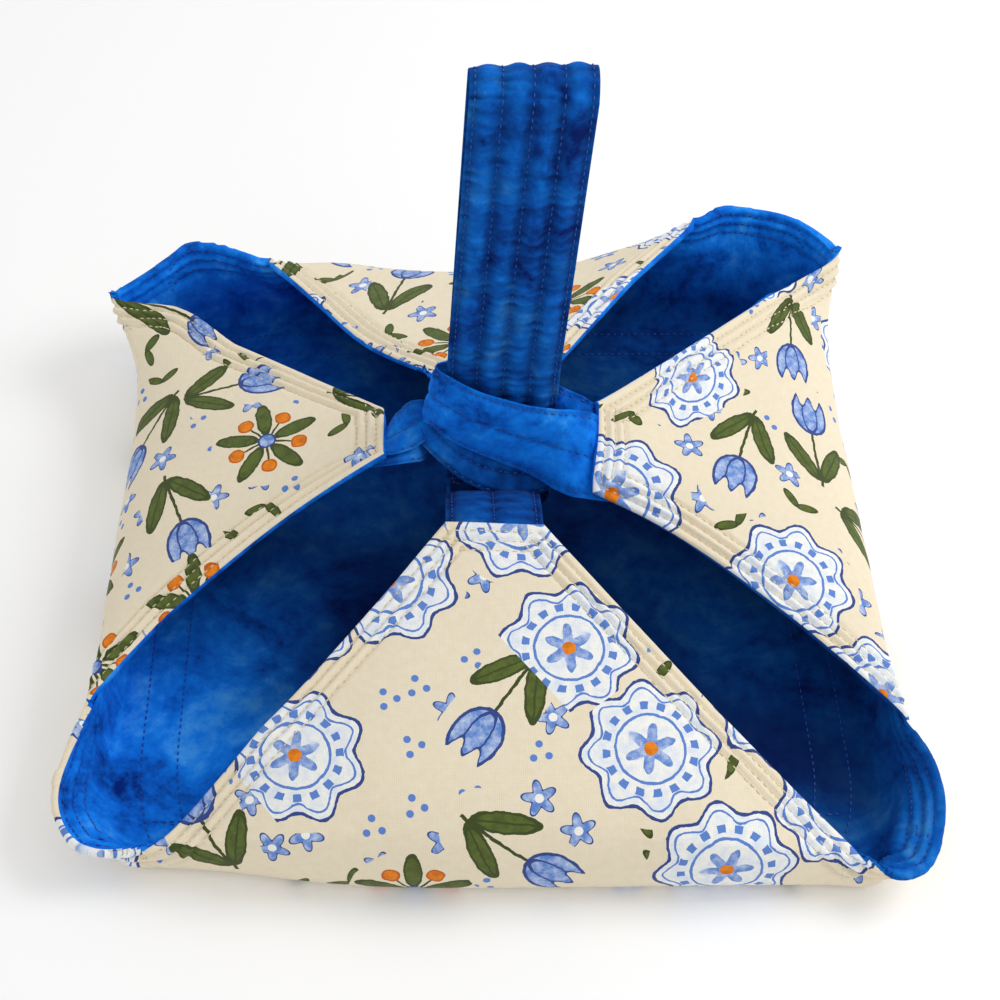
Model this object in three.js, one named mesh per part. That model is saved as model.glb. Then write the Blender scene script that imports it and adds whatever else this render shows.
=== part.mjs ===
import * as THREE from 'three';

// Casserole carrier of quilted cotton, in millimetres. It stands on z = 0, with the middle of its base at
// the origin and its front flap towards -Y. Each flap folds on a straight line along the top of a low wall.

// Base and wall
const frontRim = 191;         // outer face of the wall at the fold line, from the middle to each side
const sideRim = 181;
const backRim = 183;
const wallLean = 11;          // the edge of the flat base, inside the rim
const rimHeight = 18;         // fold line above the table
const foldGap = 0.3;          // play between the wall's rim and a flap
const innerShare = 0.55;      // ring of the base where its facets change size

// Cloth layers, from the outside in
const outerThickness = 0.8;
const battingThickness = 3;
const thermalThickness = 1;
const liningThickness = 0.8;
const layerGap = 0.3;

// Flaps: the shape from fold to tip, then each flap's ends along the fold and its edge's height there
// The carrier is soft and was not closed evenly, so its left and right differ
const flapCrown = 2.2;        // how full a flap is between its two edges
const flapRise = 40;          // how steeply a flap starts at its fold
const flapRun = 80;           // how long a flap runs straight before its tip
const flapPitch = 15;         // slope at the tip, degrees
const uprightShare = 0.2;     // share of a flap's middle that lies level with its upright ends
const frontEnd = 150;
const frontEdgeHeight = 30;
const rightFrontEnd = 122;
const rightFrontEdgeHeight = 36;
const rightBackEnd = 157;
const rightBackEdgeHeight = 63;
const backRightEnd = 110;
const backRightEdgeHeight = 73;
const backLeftEnd = 106;
const backLeftEdgeHeight = 55;
const leftBackEnd = 138;
const leftBackEdgeHeight = 52;
const leftFrontEnd = 108;
const leftFrontEdgeHeight = 38;
const sideEdgeBow = 11;       // the side flaps' front edges curve in

// Tips
const tipReach = 50;          // front and side tips, from the middle
const backTipReach = 45;
const tipHeight = 85;
const leftTipOffset = 10;     // left tip, towards the back
const leftTipTilt = 18;       // left tip, degrees, with its front corner up
const rightTipOffset = -3;    // right tip, towards the back
const rightTipTilt = 27;      // right tip, degrees, with its back corner up

// Corner lips: how far each stands out, and how far its middle dips
const cornerRound = 0.6;      // pull of a corner's curve towards a square corner
const frontLipFlare = 11;
const frontLipDip = 7;
const backLipDip = 4;
const backRightLipFlare = 22;
const backLeftLipFlare = 20;

// Straps: fabric sleeves round a core
const sleeveThickness = 0.8;
const sleeveGap = 0.2;
const loopWidth = 44;
const loopCoreThickness = 1.6;
const handleWidth = 51;
const handleCoreThickness = 2.6;
const footCoreThickness = 5;  // the foot of the handle is the strap doubled
const strapClearance = 0.8;   // between a loop and the foot it goes round
const seamGap = 0.3;          // between two sewn pieces, such as a strap's end and the flap that holds it

// Knot and handle
const handleX = 4.5;          // middle of the handle's foot
const handleY = 10;
const footTurnRadius = 10;    // bend of the foot under the knot
const footTurnHeight = 41;    // centre of that bend
const pivotRise = 2.5;        // where the handle starts to swing, above the top loop
const handleTop = 283;
const handleSpread = 22;      // between the two runs of the handle at its top
const handleLean = 3;         // degrees, to the right
const frontRingHeight = 14;   // the lower two loops are gathered where they go round the foot
const leftRingHeight = 19;
const ringGap = 1.5;          // between one loop and the next
const turnGap = 0.15;         // half the split in the foot's bend
const tabFlat = 0.4;          // share of a loop's way to the foot where its runs lie together
const tabRun = 6;             // from where a loop is fully open to where it stands upright beside the foot

// Facets
const loopSteps = [8, 3, 1, 4];  // a loop's tab, its way to the foot, its run beside it and its turn behind
const knuckleAngles = [0, 30, 60, 85];  // round end of the foot's core, where the handle swings
const sideCells = 4;
const cornerCells = 8;
const flapCells = 8;
const uprightCells = 2;       // rows of a flap beside the corner lips

const deg = THREE.MathUtils.degToRad;
const lerp = THREE.MathUtils.lerp;
const up = new THREE.Vector3(0, 0, 1);

const layers = [
  { name: 'outer', thickness: outerThickness, color: 0xeee3c8, roughness: 0.9 },
  { name: 'batting', thickness: battingThickness, color: 0xf4f1e8, roughness: 1 },
  { name: 'thermal_layer', thickness: thermalThickness, color: 0xc9ccd0, roughness: 0.5 },
  { name: 'lining', thickness: liningThickness, color: 0x0b4db8, roughness: 0.9 },
];
layers.forEach((layer, index) => {
  const before = layers[index - 1];
  layer.start = before ? before.start + before.thickness + layerGap : 0;
});
const clothThickness = layers.at(-1).start + layers.at(-1).thickness;
const strapColor = { cover: 0x1250b4, core: 0xe8e6df };

const carrier = new THREE.Group();
carrier.name = 'casserole_carrier';

function addMesh(name, geometry, color, roughness) {
  const material = new THREE.MeshStandardMaterial({ color, roughness, metalness: 0 });
  const mesh = new THREE.Mesh(geometry, material);
  mesh.name = name;
  carrier.add(mesh);
}

function meshFrom(points, triangles) {
  const geometry = new THREE.BufferGeometry();
  geometry.setAttribute('position', new THREE.Float32BufferAttribute(points.flatMap((p) => p.toArray()), 3));
  geometry.setIndex(triangles.flat());
  geometry.computeVertexNormals();
  return geometry;
}

// A panel of cloth is a grid of points on its outer face. Some cells may be left out, and a ring can have
// a cap. grid: columns, rows, closed (columns join up), cap, point(i, j), has(i, j), and normal(i, j, found)
// where a normal is known
class Panel {
  constructor(grid) {
    this.grid = grid;
    this.count = grid.closed ? grid.columns : grid.columns + 1;
    this.points = [];
    for (let j = 0; j <= grid.rows; j += 1) {
      for (let i = 0; i < this.count; i += 1) this.points.push(grid.point(i, j));
    }
    this.cells = [];
    for (let j = 0; j < grid.rows; j += 1) {
      for (let i = 0; i < grid.columns; i += 1) {
        if (!grid.has || grid.has(i, j)) this.cells.push(this.corners(i, j));
      }
    }
    this.normals = this.findNormals();
  }

  index(i, j) {
    return j * this.count + (i % this.count);
  }

  corners(i, j) {
    return [this.index(i, j), this.index(i + 1, j), this.index(i + 1, j + 1), this.index(i, j + 1)];
  }

  findNormals() {
    const normals = this.points.map(() => new THREE.Vector3());
    for (const [a, b, c, d] of this.cells) {
      const across = this.points[c].clone().sub(this.points[a]);
      const along = this.points[d].clone().sub(this.points[b]);
      const normal = across.cross(along).normalize();
      for (const corner of [a, b, c, d]) normals[corner].add(normal);
    }
    normals.forEach((normal, k) => {
      const known = this.grid.normal?.(k % this.count, Math.floor(k / this.count), normal);
      if (known) normal.copy(known);
      normal.normalize();
    });
    return normals;
  }

  // The solid between two depths under the outer face
  layer(start, thickness) {
    const face = (depth) => this.points.map((p, k) => p.clone().addScaledVector(this.normals[k], -depth));
    const points = [...face(start), ...face(start + thickness)];
    const below = this.points.length;
    const triangles = [];
    const edges = new Map();
    for (const corner of this.cells) {
      const [a, b, c, d] = corner;
      triangles.push([a, b, c], [a, c, d]);
      triangles.push([a + below, c + below, b + below], [a + below, d + below, c + below]);
      corner.forEach((from, k) => edges.set(`${from}_${corner[(k + 1) % 4]}`, [from, corner[(k + 1) % 4]]));
    }
    for (const [from, to] of edges.values()) {
      if (edges.has(`${to}_${from}`)) continue;
      if (this.grid.cap && from < this.count && to < this.count) continue;
      triangles.push([from, from + below, to + below], [from, to + below, to]);
    }
    if (this.grid.cap) this.addCaps(points, triangles, below);
    return this.compact(points, triangles);
  }

  addCaps(points, triangles, below) {
    for (const shift of [0, below]) {
      const middle = points.length;
      const ring = points.slice(shift, shift + this.count);
      points.push(ring.reduce((sum, p) => sum.add(p), new THREE.Vector3()).divideScalar(this.count));
      for (let i = 0; i < this.count; i += 1) {
        const next = (i + 1) % this.count;
        triangles.push(shift ? [middle, shift + i, shift + next] : [middle, next, i]);
      }
    }
  }

  compact(points, triangles) {
    const used = [...new Set(triangles.flat())].sort((a, b) => a - b);
    const place = new Map(used.map((old, k) => [old, k]));
    return meshFrom(used.map((k) => points[k]), triangles.map((t) => t.map((k) => place.get(k))));
  }
}

function addPanel(name, panel) {
  for (const layer of layers) {
    const solid = panel.layer(layer.start, layer.thickness);
    addMesh(`${name}_${layer.name}`, solid, layer.color, layer.roughness);
  }
}

// The four sides in order round the base. A side's own axes are along the fold, outwards and up.
// Each has its flap's two ends along the fold, the edge's height and bow at each, and the corner after it.
const sides = [
  {
    name: 'front', turn: 0, rim: frontRim, ends: [-frontEnd, frontEnd],
    heights: [frontEdgeHeight, frontEdgeHeight], bows: [0, 0],
    reach: tipReach, width: loopWidth, offset: 0, tilt: 0, flare: frontLipFlare, dip: frontLipDip,
  },
  {
    name: 'right', turn: 90, rim: sideRim, ends: [-rightFrontEnd, rightBackEnd],
    heights: [rightFrontEdgeHeight, rightBackEdgeHeight], bows: [sideEdgeBow, 0],
    reach: tipReach, width: loopWidth, offset: rightTipOffset, tilt: rightTipTilt,
    flare: backRightLipFlare, dip: backLipDip,
  },
  {
    name: 'back', turn: 180, rim: backRim, ends: [-backRightEnd, backLeftEnd],
    heights: [backRightEdgeHeight, backLeftEdgeHeight], bows: [0, 0],
    reach: backTipReach, width: handleWidth, offset: 0, tilt: 0, flare: backLeftLipFlare, dip: backLipDip,
  },
  {
    name: 'left', turn: 270, rim: sideRim, ends: [-leftBackEnd, leftFrontEnd],
    heights: [leftBackEdgeHeight, leftFrontEdgeHeight], bows: [0, sideEdgeBow],
    reach: tipReach, width: loopWidth, offset: -leftTipOffset, tilt: leftTipTilt,
    flare: frontLipFlare, dip: frontLipDip,
  },
];

function onSide(side, along, out, z) {
  return new THREE.Vector3(along, -out, z).applyAxisAngle(up, deg(side.turn));
}

// Wall and corner lips: each corner runs from the end of one flap to the start of the next
const corners = sides.map((side, k) => {
  const next = sides[(k + 1) % sides.length];
  const start = onSide(side, side.ends[1], side.rim, rimHeight);
  const end = onSide(next, next.ends[0], next.rim, rimHeight);
  const square = onSide(side, next.rim, side.rim, rimHeight);
  return {
    rim: new THREE.CubicBezierCurve3(
      start, start.clone().lerp(square, cornerRound), end.clone().lerp(square, cornerRound), end),
    heights: [side.heights[1], next.heights[0]],
    flare: side.flare,
    dip: side.dip,
  };
});

const cellsPerSide = sideCells + cornerCells;

// A column of the wall: where it stands, which way is out, and its lip where it has one
function wallColumn(i) {
  const k = Math.floor(i / cellsPerSide) % sides.length;
  const step = i % cellsPerSide;
  const side = sides[k];
  if (step <= sideCells) {
    const along = lerp(side.ends[0], side.ends[1], step / sideCells);
    const before = corners[(k + sides.length - 1) % sides.length];
    const lip = step === 0 ? before.heights[1] : side.heights[1];
    return { rim: onSide(side, along, side.rim, rimHeight), out: onSide(side, 0, 1, 0), lip, flare: 0 };
  }
  const corner = corners[k];
  const t = (step - sideCells) / cornerCells;
  const swell = Math.sin(Math.PI * t);
  return {
    rim: corner.rim.getPoint(t),
    out: corner.rim.getTangent(t).cross(up),
    lip: lerp(corner.heights[0], corner.heights[1], t) - corner.dip * swell,
    flare: corner.flare * swell,
  };
}

// Rows of the base and its wall, from the middle out: shares of the wall's lean and height, then of the
// lip's height and flare. The wall is sewn to the base at the base's edge
const wallRows = [
  { inset: 1, rise: 0, share: innerShare },
  { inset: 1, rise: 0 },
  { inset: 0.3, rise: 0.35 },
  { inset: 0, rise: 1 },
  { lip: 0.5, flare: 0.3 },
  { lip: 1, flare: 1 },
];
const floorRow = 1;
const rimRow = 3;

function wallPoint(i, j) {
  const { rim, out, lip, flare } = wallColumn(i);
  const row = wallRows[j];
  if (row.lip) {
    return rim.clone().addScaledVector(out, flare * row.flare).setZ(lerp(rimHeight, lip, row.lip));
  }
  const point = rim.clone().addScaledVector(out, -row.inset * wallLean).setZ(row.rise * rimHeight);
  if (row.share) point.multiplyScalar(row.share);
  return point;
}

const columns = sides.length * cellsPerSide;
const isCorner = (i) => i % cellsPerSide >= sideCells;
const base = new Panel({
  columns,
  rows: floorRow,
  closed: true,
  cap: true,
  point: (i, j) => wallPoint(i, j).addScaledVector(wallColumn(i).out, j === floorRow ? -seamGap : 0),
  normal: () => up.clone().negate(),
});
addPanel('base', base);

const wall = new Panel({
  columns,
  rows: wallRows.length - 1 - floorRow,
  closed: true,
  point: (i, j) => wallPoint(i, j + floorRow),
  has: (i, j) => j + floorRow < rimRow || isCorner(i),
  normal: (i, j) => {
    if (j === 0) return up.clone().negate();
    const { out, flare } = wallColumn(i);
    return j + floorRow === rimRow || flare === 0 ? out : null;
  },
});
addPanel('wall', wall);

// Flaps
function flapMiddle(side) {
  const fold = new THREE.Vector3(0, side.rim, rimHeight + foldGap);
  const rise = new THREE.Vector3(0, 0, flapRise);
  const tip = new THREE.Vector3(0, side.reach, tipHeight);
  const run = new THREE.Vector3(0, Math.cos(deg(flapPitch)), -Math.sin(deg(flapPitch)));
  const before = tip.clone().addScaledVector(run, flapRun);
  return new THREE.CubicBezierCurve3(fold, fold.clone().add(rise), before, tip);
}

// The cloth's own axes at a flap's tip: across it, and out of its face
function tipAxes(side) {
  const across = onSide(side, Math.cos(deg(side.tilt)), 0, Math.sin(deg(side.tilt)));
  const inwards = onSide(side, 0, -Math.cos(deg(flapPitch)), Math.sin(deg(flapPitch)));
  return { across, face: across.clone().cross(inwards).normalize() };
}

function tipCorner(side, hand) {
  const half = (hand * side.width) / 2;
  return new THREE.Vector3(
    side.offset + half * Math.cos(deg(side.tilt)), side.reach, tipHeight + half * Math.sin(deg(side.tilt)));
}

// One side edge of a flap: up beside the corner lip, then in a line or a slight bow to the tip
function flapEdge(side, hand) {
  const k = hand < 0 ? 0 : 1;
  const along = side.ends[k] - hand * foldGap;
  const foot = new THREE.Vector3(along, side.rim, rimHeight + foldGap);
  const turn = new THREE.Vector3(along, side.rim, side.heights[k]);
  const tip = tipCorner(side, hand);
  const pull = turn.clone().lerp(tip, 0.5);
  pull.x -= 2 * hand * side.bows[k];
  return {
    upright: new THREE.LineCurve3(foot, turn),
    free: new THREE.QuadraticBezierCurve3(turn, pull, tip),
  };
}

function flapPanel(side) {
  const middle = flapMiddle(side);
  const edges = [flapEdge(side, -1), flapEdge(side, 1)];
  const middleAlong = (side.ends[0] + side.ends[1]) / 2;
  const point = (i, j) => {
    const isUpright = j <= uprightCells;
    const part = isUpright ? j / uprightCells : (j - uprightCells) / (flapCells - uprightCells);
    const s = isUpright ? part * uprightShare : lerp(uprightShare, 1, part);
    const t = (2 * i) / flapCells - 1;
    const centre = middle.getPoint(s);
    centre.x = lerp(middleAlong, side.offset, s);
    const edge = edges[t < 0 ? 0 : 1][isUpright ? 'upright' : 'free'].getPoint(part);
    const full = Math.abs(t) ** flapCrown;
    return onSide(
      side, lerp(centre.x, edge.x, Math.abs(t)), lerp(centre.y, edge.y, full), lerp(centre.z, edge.z, full));
  };
  return new Panel({
    columns: flapCells,
    rows: flapCells,
    point,
    normal: (i, j, found) => {
      if (j === 0) return onSide(side, 0, 1, 0);
      if (j === flapCells) return tipAxes(side).face;
      return i % flapCells === 0 ? found.clone().projectOnPlane(onSide(side, 1, 0, 0)) : null;
    },
  });
}
for (const side of sides) addPanel(`${side.name}_flap`, flapPanel(side));

// A strap is swept along stations, each with a middle, a direction across its width and one through its
// thickness. inset draws the section in on every side, and hollow is the wall of an open tube.
function sweep(stations, width, thickness, { inset = 0, hollow = 0 } = {}) {
  const rings = [];
  const signs = [[1, 1], [-1, 1], [-1, -1], [1, -1]];
  const ring = (station, half, depth) => signs.map(([a, b]) => station.middle.clone()
    .addScaledVector(station.across, a * half)
    .addScaledVector(station.through, b * depth));
  const points = [];
  for (const station of stations) {
    const half = (width * (station.share ?? 1)) / 2 - inset;
    const depth = (station.depth ?? thickness) / 2 - inset;
    const around = [ring(station, half, depth)];
    if (hollow) around.push(ring(station, half - hollow, depth - hollow));
    rings.push(around.map((loop) => loop.map((p) => points.push(p) - 1)));
  }
  const triangles = [];
  const quad = (a, b, c, d) => triangles.push([a, b, c], [a, c, d]);
  for (let k = 0; k + 1 < rings.length; k += 1) {
    for (let i = 0; i < 4; i += 1) {
      const n = (i + 1) % 4;
      // The two wide faces share their diagonals, so that a twisted strap keeps its thickness
      const corner = (loop) => {
        const around = [rings[k][loop][i], rings[k][loop][n], rings[k + 1][loop][n], rings[k + 1][loop][i]];
        return i === (stations[k].returning ? 0 : 2) ? [...around.slice(1), around[0]] : around;
      };
      quad(...corner(0));
      if (hollow) {
        const [a, b, c, d] = corner(1);
        quad(a, d, c, b);
      }
    }
  }
  const [first] = rings;
  const last = rings.at(-1);
  if (hollow) {
    for (let i = 0; i < 4; i += 1) {
      const n = (i + 1) % 4;
      quad(first[0][i], first[1][i], first[1][n], first[0][n]);
      quad(last[0][i], last[0][n], last[1][n], last[1][i]);
    }
  } else {
    quad(first[0][3], first[0][2], first[0][1], first[0][0]);
    quad(last[0][0], last[0][1], last[0][2], last[0][3]);
  }
  return meshFrom(points, triangles);
}

const strapThickness = (core) => core + 2 * (sleeveThickness + sleeveGap);

function addStrap(name, stations, width, coreThickness, coreStations = stations) {
  const thickness = strapThickness(coreThickness);
  const inset = sleeveThickness + sleeveGap;
  const cover = sweep(stations, width, thickness, { hollow: sleeveThickness });
  addMesh(`${name}_cover`, cover, strapColor.cover, 0.9);
  addMesh(`${name}_core`, sweep(coreStations, width, thickness, { inset }), strapColor.core, 1);
}

const loopThickness = strapThickness(loopCoreThickness);
const footThickness = strapThickness(footCoreThickness);
const handleThickness = strapThickness(handleCoreThickness);

// Loops: two runs leave a flap's tip one on the other, turn upright together and go round the handle's foot.
// A run's place is its way from the tip towards the foot, and its distance from the loop's own middle line.
const tipSlant = clothThickness * Math.sin(deg(flapPitch));   // how far a tip's lining stands past its face

function loopPath(run, footHalf, sideHalf) {
  const beside = sideHalf + strapClearance + loopThickness / 2;
  const behind = footHalf + strapClearance + loopThickness / 2;
  const upright = run - footHalf;
  const near = upright - tabRun;
  const round = Math.min(beside, behind) - loopThickness;
  const half = new THREE.CurvePath();
  const at = (x, y) => new THREE.Vector2(x, y);
  const together = (loopThickness + layerGap) / 2;
  const far = run + behind;
  half.add(new THREE.QuadraticBezierCurve(
    at(tipSlant + seamGap, together), at(near * tabFlat, together), at(near, beside)));
  half.add(new THREE.LineCurve(at(near, beside), at(upright, beside)));
  half.add(new THREE.LineCurve(at(upright, beside), at(far - round, beside)));
  half.add(new THREE.QuadraticBezierCurve(
    at(far - round, beside), at(far, beside), at(far, beside - round)));
  const samples = half.curves.flatMap((curve, k) => curve.getPoints(loopSteps[k]).slice(k === 0 ? 0 : 1));
  const back = samples.toReversed().map((p) => at(p.x, -p.y));
  return { near, upright, points: [...samples, ...back] };
}

function loopStations(side, hand, ringMiddle, ringHeight) {
  const towards = onSide(side, 0, -1, 0);
  const along = onSide(side, 1, 0, 0);
  const tip = onSide(side, side.offset, side.reach, tipHeight - clothThickness / 2);
  const foot = new THREE.Vector3(handleX, handleY, 0);
  const fromTip = foot.clone().sub(tip);
  const run = fromTip.dot(towards);
  const shift = fromTip.dot(along);
  const halves = [handleWidth / 2, footThickness / 2];
  const alongX = Math.abs(towards.x) > 0.5;
  const { near, upright, points } = loopPath(run, halves[alongX ? 0 : 1], halves[alongX ? 1 : 0]);
  return points.map((p, k) => {
    const s = THREE.MathUtils.smoothstep(p.x, tipSlant, near);
    const twist = THREE.MathUtils.smoothstep(p.x, tipSlant, upright);
    const turn = lerp(deg(side.tilt), (hand * Math.PI) / 2, twist);
    const across = along.clone().multiplyScalar(Math.cos(turn)).addScaledVector(up, Math.sin(turn));
    const lift = along.clone().multiplyScalar(-Math.sin(turn)).addScaledVector(up, Math.cos(turn));
    const middle = tip.clone().addScaledVector(towards, p.x).addScaledVector(along, shift * s);
    middle.z = lerp(tip.z, ringMiddle, s);
    middle.addScaledVector(lift, p.y);
    const a = points[Math.max(k - 1, 0)];
    const b = points[Math.min(k + 1, points.length - 1)];
    const forward = towards.clone().multiplyScalar(b.x - a.x).addScaledVector(lift, b.y - a.y).normalize();
    return {
      middle, across, through: forward.cross(across).normalize(), share: lerp(1, ringHeight / loopWidth, s),
      returning: k >= points.length / 2 - 1,
    };
  });
}

const [front, right, , left] = sides;
const frontRing = footTurnHeight - ringGap + frontRingHeight / 2;
const leftRing = frontRing + (frontRingHeight + leftRingHeight) / 2 + ringGap;
const rightRing = leftRing + (leftRingHeight + loopWidth) / 2 + ringGap;
const pivotHeight = rightRing + loopWidth / 2 + pivotRise;
addStrap('front_loop', loopStations(front, 1, frontRing, frontRingHeight), loopWidth, loopCoreThickness);
addStrap('left_loop', loopStations(left, -1, leftRing, leftRingHeight), loopWidth, loopCoreThickness);
addStrap('right_loop', loopStations(right, 1, rightRing, loopWidth), loopWidth, loopCoreThickness);

// Handle: stations of a strap whose width lies along X, from points of its middle line in the YZ plane
function handleStations(points, lean = 0) {
  return points.map((p, k) => {
    const a = points[Math.max(k - 1, 0)];
    const b = points[Math.min(k + 1, points.length - 1)];
    const heading = p.heading ?? b.clone().sub(a);
    const forward = new THREE.Vector3(0, heading.x, heading.y).normalize();
    const leanX = Math.max(p.y - pivotHeight, 0) * Math.tan(deg(lean));
    const middle = new THREE.Vector3(handleX + leanX, p.x, p.y);
    const across = new THREE.Vector3(1, 0, 0);
    return { middle, across, through: forward.cross(across), depth: p.depth };
  });
}

function arc(centre, radius, from, to, steps) {
  return Array.from({ length: steps + 1 }, (_, k) => {
    const angle = deg(lerp(from, to, k / steps));
    const p = new THREE.Vector2(centre.x + radius * Math.cos(angle), centre.y + radius * Math.sin(angle));
    p.heading = new THREE.Vector2(-Math.sin(angle), Math.cos(angle)).multiplyScalar(Math.sign(to - from));
    return p;
  });
}

// The foot hangs from the lining side of the back tip, turns under the knot and rises to the handle
const turnCentre = new THREE.Vector2(handleY + footTurnRadius, footTurnHeight);
const pitch = deg(flapPitch);
const legTop = new THREE.Vector2(
  backTipReach - clothThickness * Math.sin(pitch) - seamGap - footThickness / 2,
  tipHeight - clothThickness * Math.cos(pitch) - seamGap);
const legPoints = [legTop, ...arc(turnCentre, footTurnRadius, 0, -90, 4)];
addStrap('handle_leg', handleStations(legPoints), handleWidth, footCoreThickness);

const turnSplit = THREE.MathUtils.radToDeg((2 * turnGap) / footTurnRadius);
const riserArc = arc(turnCentre, footTurnRadius, -90 - turnSplit, -180, 4);
const knuckle = footCoreThickness / 2;
const riserTop = new THREE.Vector2(handleY, pivotHeight - knuckle);
const riserKnuckle = knuckleAngles.map((angle) => {
  const p = new THREE.Vector2(handleY, pivotHeight + knuckle * Math.sin(deg(angle)));
  p.depth = 2 * (knuckle * Math.cos(deg(angle)) + sleeveThickness + sleeveGap);
  return p;
});
addStrap('handle_riser', handleStations([...riserArc, riserTop]), handleWidth, footCoreThickness,
  handleStations([...riserArc, ...riserKnuckle]));

// The handle is one strap, up in front, over the top and down behind
const handleFoot = pivotHeight + knuckle + seamGap;
const topRadius = handleSpread / 2;
const topCentre = new THREE.Vector2(handleY, handleTop - handleThickness / 2 - topRadius);
const footSpread = (handleThickness + layerGap) / 2;
const handlePoints = [
  new THREE.Vector2(handleY - footSpread, handleFoot),
  ...arc(topCentre, topRadius, 180, 0, 8),
  new THREE.Vector2(handleY + footSpread, handleFoot),
];
addStrap('handle', handleStations(handlePoints, handleLean), handleWidth, handleCoreThickness);

export default carrier;
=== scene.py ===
import math

import bmesh
import bpy
import numpy as np
from mathutils import Matrix, Vector, noise
from mathutils.bvhtree import BVHTree
from mathutils.kdtree import KDTree


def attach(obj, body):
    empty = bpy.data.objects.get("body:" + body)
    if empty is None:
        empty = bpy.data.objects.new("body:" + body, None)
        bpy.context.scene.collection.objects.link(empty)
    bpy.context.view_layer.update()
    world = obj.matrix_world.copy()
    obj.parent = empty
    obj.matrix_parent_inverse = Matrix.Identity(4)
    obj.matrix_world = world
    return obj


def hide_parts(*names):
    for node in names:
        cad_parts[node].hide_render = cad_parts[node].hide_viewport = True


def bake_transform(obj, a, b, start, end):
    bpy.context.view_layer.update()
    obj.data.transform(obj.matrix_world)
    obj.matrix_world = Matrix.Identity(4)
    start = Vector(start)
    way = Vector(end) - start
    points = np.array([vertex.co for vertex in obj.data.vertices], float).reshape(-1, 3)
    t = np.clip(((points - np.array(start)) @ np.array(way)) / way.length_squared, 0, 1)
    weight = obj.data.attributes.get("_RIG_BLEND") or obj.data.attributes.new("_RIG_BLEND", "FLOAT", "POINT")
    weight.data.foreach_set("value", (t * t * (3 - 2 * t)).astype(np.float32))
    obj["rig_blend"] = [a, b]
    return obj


# Quilted casserole carrier, closed, with its strap handle up. Shapes are worked out in millimetres.

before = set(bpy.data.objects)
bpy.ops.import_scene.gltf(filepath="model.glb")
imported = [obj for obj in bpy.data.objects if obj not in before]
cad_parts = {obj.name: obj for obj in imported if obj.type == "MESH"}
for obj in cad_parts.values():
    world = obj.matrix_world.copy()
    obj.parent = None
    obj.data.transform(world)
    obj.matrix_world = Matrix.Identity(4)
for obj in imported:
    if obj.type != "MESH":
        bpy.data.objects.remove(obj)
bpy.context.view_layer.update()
mm = 0.001
print("frame loaded:", len(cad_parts), "nodes")


# Camera: the photo's view, solved from the strap's width and the base's corners

photoView = {
    "focalPx": 1876.47, "framePx": 1000, "middlePx": (490.58, 508.91),
    "elevation": 47.49, "yaw": -2.58, "roll": 1.61, "distance": 902.52, "target": (0, 0, 40), "sensor": 36,
}


def addCamera(view):
    elevation, yaw, roll = (math.radians(view[k]) for k in ("elevation", "yaw", "roll"))
    level = math.cos(elevation)
    back = Vector((math.sin(yaw) * level, -math.cos(yaw) * level, math.sin(elevation)))
    right = Vector((0, 0, 1)).cross(back).normalized()
    up = back.cross(right)
    across = right * math.cos(roll) + up * math.sin(roll)
    upright = up * math.cos(roll) - right * math.sin(roll)
    place = (Vector(view["target"]) + back * view["distance"]) * mm
    data = bpy.data.cameras.new("photoCamera")
    data.sensor_width = view["sensor"]
    data.lens = view["sensor"] * view["focalPx"] / view["framePx"]
    data.shift_x = 0.5 - view["middlePx"][0] / view["framePx"]
    data.shift_y = view["middlePx"][1] / view["framePx"] - 0.5
    camera = bpy.data.objects.new("photoCamera", data)
    bpy.context.scene.collection.objects.link(camera)
    camera.matrix_world = Matrix((across, upright, back)).transposed().to_4x4()
    camera.matrix_world.translation = place
    bpy.context.scene.camera = camera


addCamera(photoView)
print("camera set")


# Materials

def linear(code):
    values = [int(code[k:k + 2], 16) / 255 for k in (1, 3, 5)]
    return [c / 12.92 if c <= 0.04045 else ((c + 0.055) / 1.055) ** 2.4 for c in values] + [1]


def addNode(tree, kind, links=None, **settings):
    made = tree.nodes.new("ShaderNode" + kind)
    for name, value in settings.items():
        setattr(made, name, value)
    for socket, source in (links or {}).items():
        if isinstance(source, bpy.types.NodeSocket):
            tree.links.new(source, made.inputs[socket])
        else:
            made.inputs[socket].default_value = source
    return made.outputs


def newMaterial(name):
    material = bpy.data.materials.new(name)
    material.use_nodes = True
    material.node_tree.nodes.clear()
    return material, material.node_tree


# Plain-weave quilting cotton, screen printed on cream: matt, with a faint sheen and soft puckers.
# The threads are 0.35 mm apart, which is too fine to show, so the weave is drawn at 0.8 mm.
printedLook = {
    "ground": "#F1E6CF", "groundShade": "#E7D9BB", "white": "#F6F5EE",
    "blue": "#5E86CF", "deepBlue": "#34498A", "paleBlue": "#D3E0F4",
    "olive": "#5C6B2E", "deepOlive": "#3F4B22", "orange": "#F08A16", "deepOrange": "#C4620C",
    "start": (0.031, 0.012, 0), "askew": 0.46, "cell": 63, "filler": 24, "wobble": 1.6, "wobbleLength": 4,
    "wash": 6.25, "tone": 3.846, "pucker": 10.526, "weave": 0.8, "roughness": 0.88, "specular": 0.25,
    "sheen": 0.08, "sheenRoughness": 0.5,
}
fullTurn = 6.283    # radians


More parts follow.
